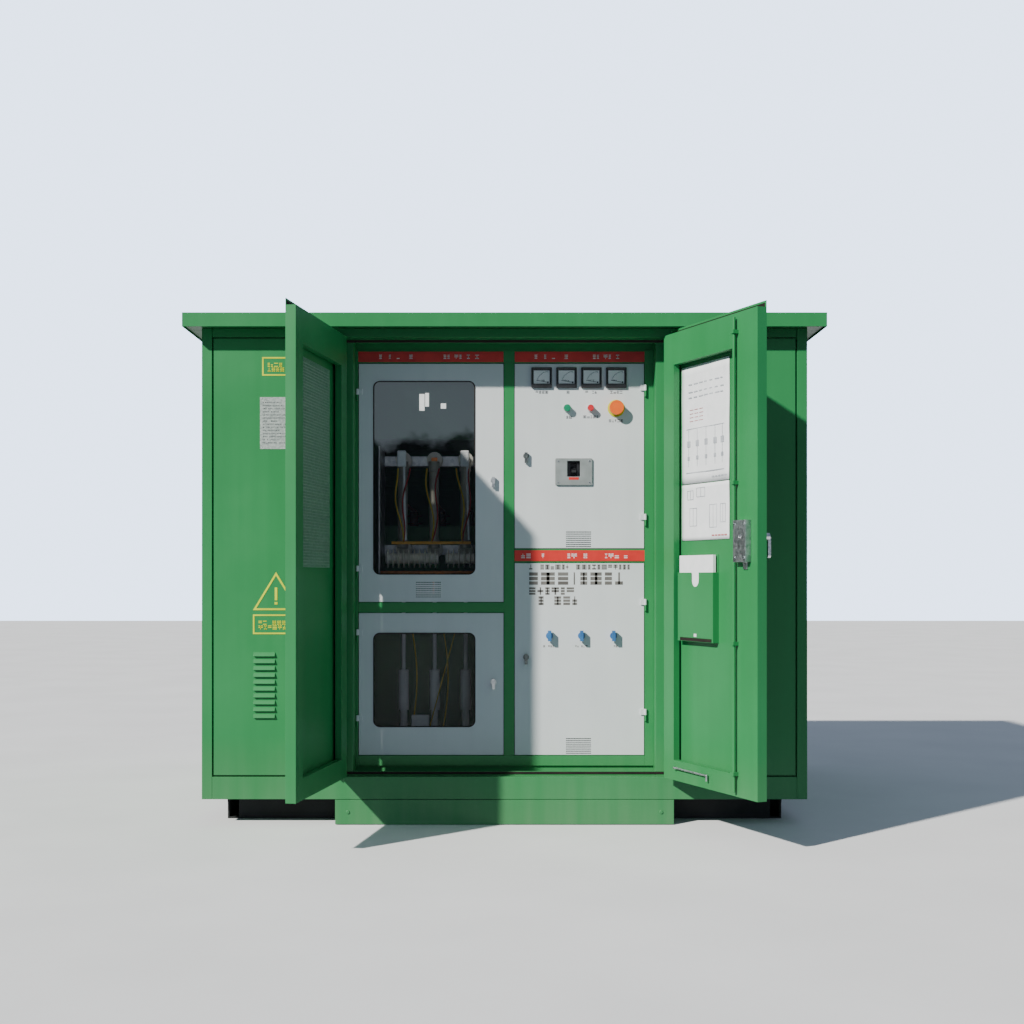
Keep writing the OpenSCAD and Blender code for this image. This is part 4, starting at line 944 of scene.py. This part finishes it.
# cable glands
def glands():
    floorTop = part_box("floor_pan")[1].z
    spots = []
    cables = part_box("cable_droppers")
    for x in (cables[0].x + 0.026, (cables[0].x + cables[1].x) / 2, cables[1].x - 0.026, 0.203, 0.358, 0.513):
        spots.append((x, (cables[0].y + cables[1].y) / 2))

    def build(shape):
        for x, y in spots:
            tubeAlong(shape,
                [(x + 0.057 * math.cos(t), y + 0.057 * math.sin(t), floorTop + 0.002) for t in turns(32)],
                0.005, True, 8)
        outward(shape)
    finish(meshPiece("cableGlands", build, [blackRubber]), "enclosure")


glands()


topStripSizes = {"thick": 0.0006, "tall": 0.019}


# a thin black strip standing along the top edge of each open door
def topDarkStrips(sizes=topStripSizes):
    for side, place, body in (("left", leftLeaf, "left_door"), ("right", rightLeaf, "right_door")):
        def build(shape):
            addBlock(shape, (0.008, 0.0031, doorHeight + 0.0006),
                (doorWidth - 0.008, 0.0031 + sizes["thick"], doorHeight + sizes["tall"]), place)
            outward(shape)
        finish(meshPiece(side + "TopDarkStrip", build, [blackRubber]), body)


topDarkStrips()


markSizes = {"pocketDrop": 1.407, "pocketFace": 0.0334, "stripHalf": 0.024, "discRadius": 0.041,
    "doorSkin": 0.020}


def smallMarks(sizes=markSizes):
    # the black strip is painted shade under the document pocket; the white block is the pocket's small tab
    def slot(shape):
        low = doorHeight - sizes["pocketDrop"]
        y = sizes["pocketFace"]
        addBlock(shape, (0.128, y, low + 0.002), (0.400, 0.0342, low + 0.017), rightLeaf, 0, 0.0002)
        addBlock(shape, (0.250, y, low + 0.022), (0.272, 0.0344, low + 0.036), rightLeaf, 1, 0.0003)
        outward(shape)
    finish(meshPiece("pocketShadowStripAndTab", slot, [blackRubber, dialWhite]), "right_door")

    def breaker(shape):
        low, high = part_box("breaker_bezel")
        middle = (low.x + high.x) / 2
        z = (low.z + high.z) / 2 + 0.014
        half = sizes["stripHalf"]
        first = (middle - half, low.y + 0.0006, z - 0.052)
        last = (middle + half, low.y + 0.0002 - 0.0008, z - 0.040)
        addBlock(shape, first, last, None, 0, 0.0002)
    finish(meshPiece("breakerStrip", breaker, [redVinyl]), "lv_upper_door")

    def disc(shape):
        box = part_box("stop_button")
        centre = ((box[0].x + box[1].x) / 2, (box[0].z + box[1].z) / 2)
        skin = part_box("lv_door_lower")[1].y - sizes["doorSkin"]
        radius = sizes["discRadius"]
        ring = [(centre[0] + radius * math.cos(t), centre[1] + radius * math.sin(t)) for t in turns(40)]
        front = [shape.verts.new((x, skin - 0.0042, z)) for x, z in ring]
        back = [shape.verts.new((x, skin - 0.0030, z)) for x, z in ring]
        shape.faces.new(front)
        shape.faces.new(back[::-1])
        for k in range(40):
            shape.faces.new((front[k], back[k], back[(k + 1) % 40], front[(k + 1) % 40]))
        outward(shape)
    finish(meshPiece("stopDisc", disc, [yellowVinyl]), "lv_upper_door")


smallMarks()


paneCards = (  # left, right, foot and top of each card
    (-0.408, -0.383, 1.955, 2.035), (-0.380, -0.362, 1.975, 2.040), (-0.305, -0.280, 1.965, 1.990),
)


def paneWhiteBlocks(cards=paneCards):  # small white blocks on the front face of the upper window pane
    def build(shape):
        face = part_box("hv_window_upper")[0].y
        for x0, x1, z0, z1 in cards:
            addBlock(shape, (x0, face - 0.0008, z0), (x1, face - 0.0003, z1))
        outward(shape)
    finish(meshPiece("paneWhiteBlocks", build, [dialWhite]), "hv_upper_door")


paneWhiteBlocks()


flapSizes = {"thick": 0.003, "clear": 0.003, "reach": 0.0228}


def hingeFlaps(sizes=flapSizes):
    # folded strips that close the gap beside the front hinges
    for side, name, shell in ((-1, "left_door_hinge", "door_left_shell"),
            (1, "right_door_hinge", "door_right_shell")):
        def build(shape):
            axis = jointOf[name]["pos_m"]
            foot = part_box(shell)[0].z
            middle = doorHeight / 2
            stops = [0.0, 0.18, 0.29, middle - 0.055, middle + 0.055, doorHeight - 0.35, doorHeight - 0.24,
                doorHeight - 0.01]
            x = (axis[0] - side * 0.001, axis[0] + side * sizes["thick"])
            for low, high in zip(stops[::2], stops[1::2]):
                first = (min(x), axis[1] - sizes["reach"], foot + low + sizes["clear"])
                last = (max(x), axis[1] + 0.0138, foot + high - sizes["clear"])
                addBlock(shape, first, last, None, 0, 0.0006)
            outward(shape)
        finish(meshPiece(("left" if side < 0 else "right") + "HingeFlap", build, [greenPowder]), "enclosure")


hingeFlaps()
print("details made")


# floor, light and camera
stageSizes = {
    "floor": 60.0, "keyPower": 6.6, "keyAngle": 1.5, "keyAim": (1.05, 1.0, -0.96), "fill": 0.37,
    "backdrop": 4.2,
}
cameraSizes = {"place": (0.0, -7.6, 1.154), "lens": 48.9, "shiftX": 0.0073, "shiftY": 0.0645}


def buildStage(sizes=stageSizes):
    def build(shape):
        half = sizes["floor"] / 2
        shape.faces.new([shape.verts.new(p) for p in ((-half, -half, 0), (half, -half, 0), (half, half, 0),
            (-half, half, 0))])
    paleFloor = makeMaterial("paleStudioFloor", {"Specular IOR Level": 0.1},
        mouldedSkin(["#e9e9e8", "#efefee"], 20, (0.85, 0.95)))
    floor = meshPiece("studioFloor", build, [paleFloor])
    floor.visible_diffuse = False  # the shade keeps its contrast
    world = bpy.data.worlds.new("softStudio")
    bpy.context.scene.world = world
    world.use_nodes = True
    sky = world.node_tree.nodes["Background"]
    sky.inputs["Color"].default_value = linearColour("#c8daf6")
    seen = addNode(world.node_tree, "ShaderNodeLightPath").outputs["Is Camera Ray"]
    strength = addNode(world.node_tree, "ShaderNodeMapRange",
        {"Value": seen, "To Min": sizes["fill"], "To Max": sizes["backdrop"]})
    world.node_tree.links.new(strength.outputs["Result"], sky.inputs["Strength"])
    key = bpy.data.lights.new("keySun", "SUN")
    key.energy = sizes["keyPower"]
    key.angle = math.radians(sizes["keyAngle"])
    key.color = (1.0, 0.975, 0.93)
    lamp = bpy.data.objects.new("keySun", key)
    lamp.rotation_euler = Vector(sizes["keyAim"]).to_track_quat("-Z", "Y").to_euler()
    collection.objects.link(lamp)


def buildCamera(sizes=cameraSizes):
    data = bpy.data.cameras.new("frontCamera")
    data.lens = sizes["lens"]
    data.sensor_width = 36
    data.shift_x = sizes["shiftX"]
    data.shift_y = sizes["shiftY"]
    camera = bpy.data.objects.new("frontCamera", data)
    camera.location = sizes["place"]
    camera.rotation_euler = (math.radians(90), 0, 0)
    collection.objects.link(camera)
    bpy.context.scene.camera = camera


buildStage()
buildCamera()
print("stage made")
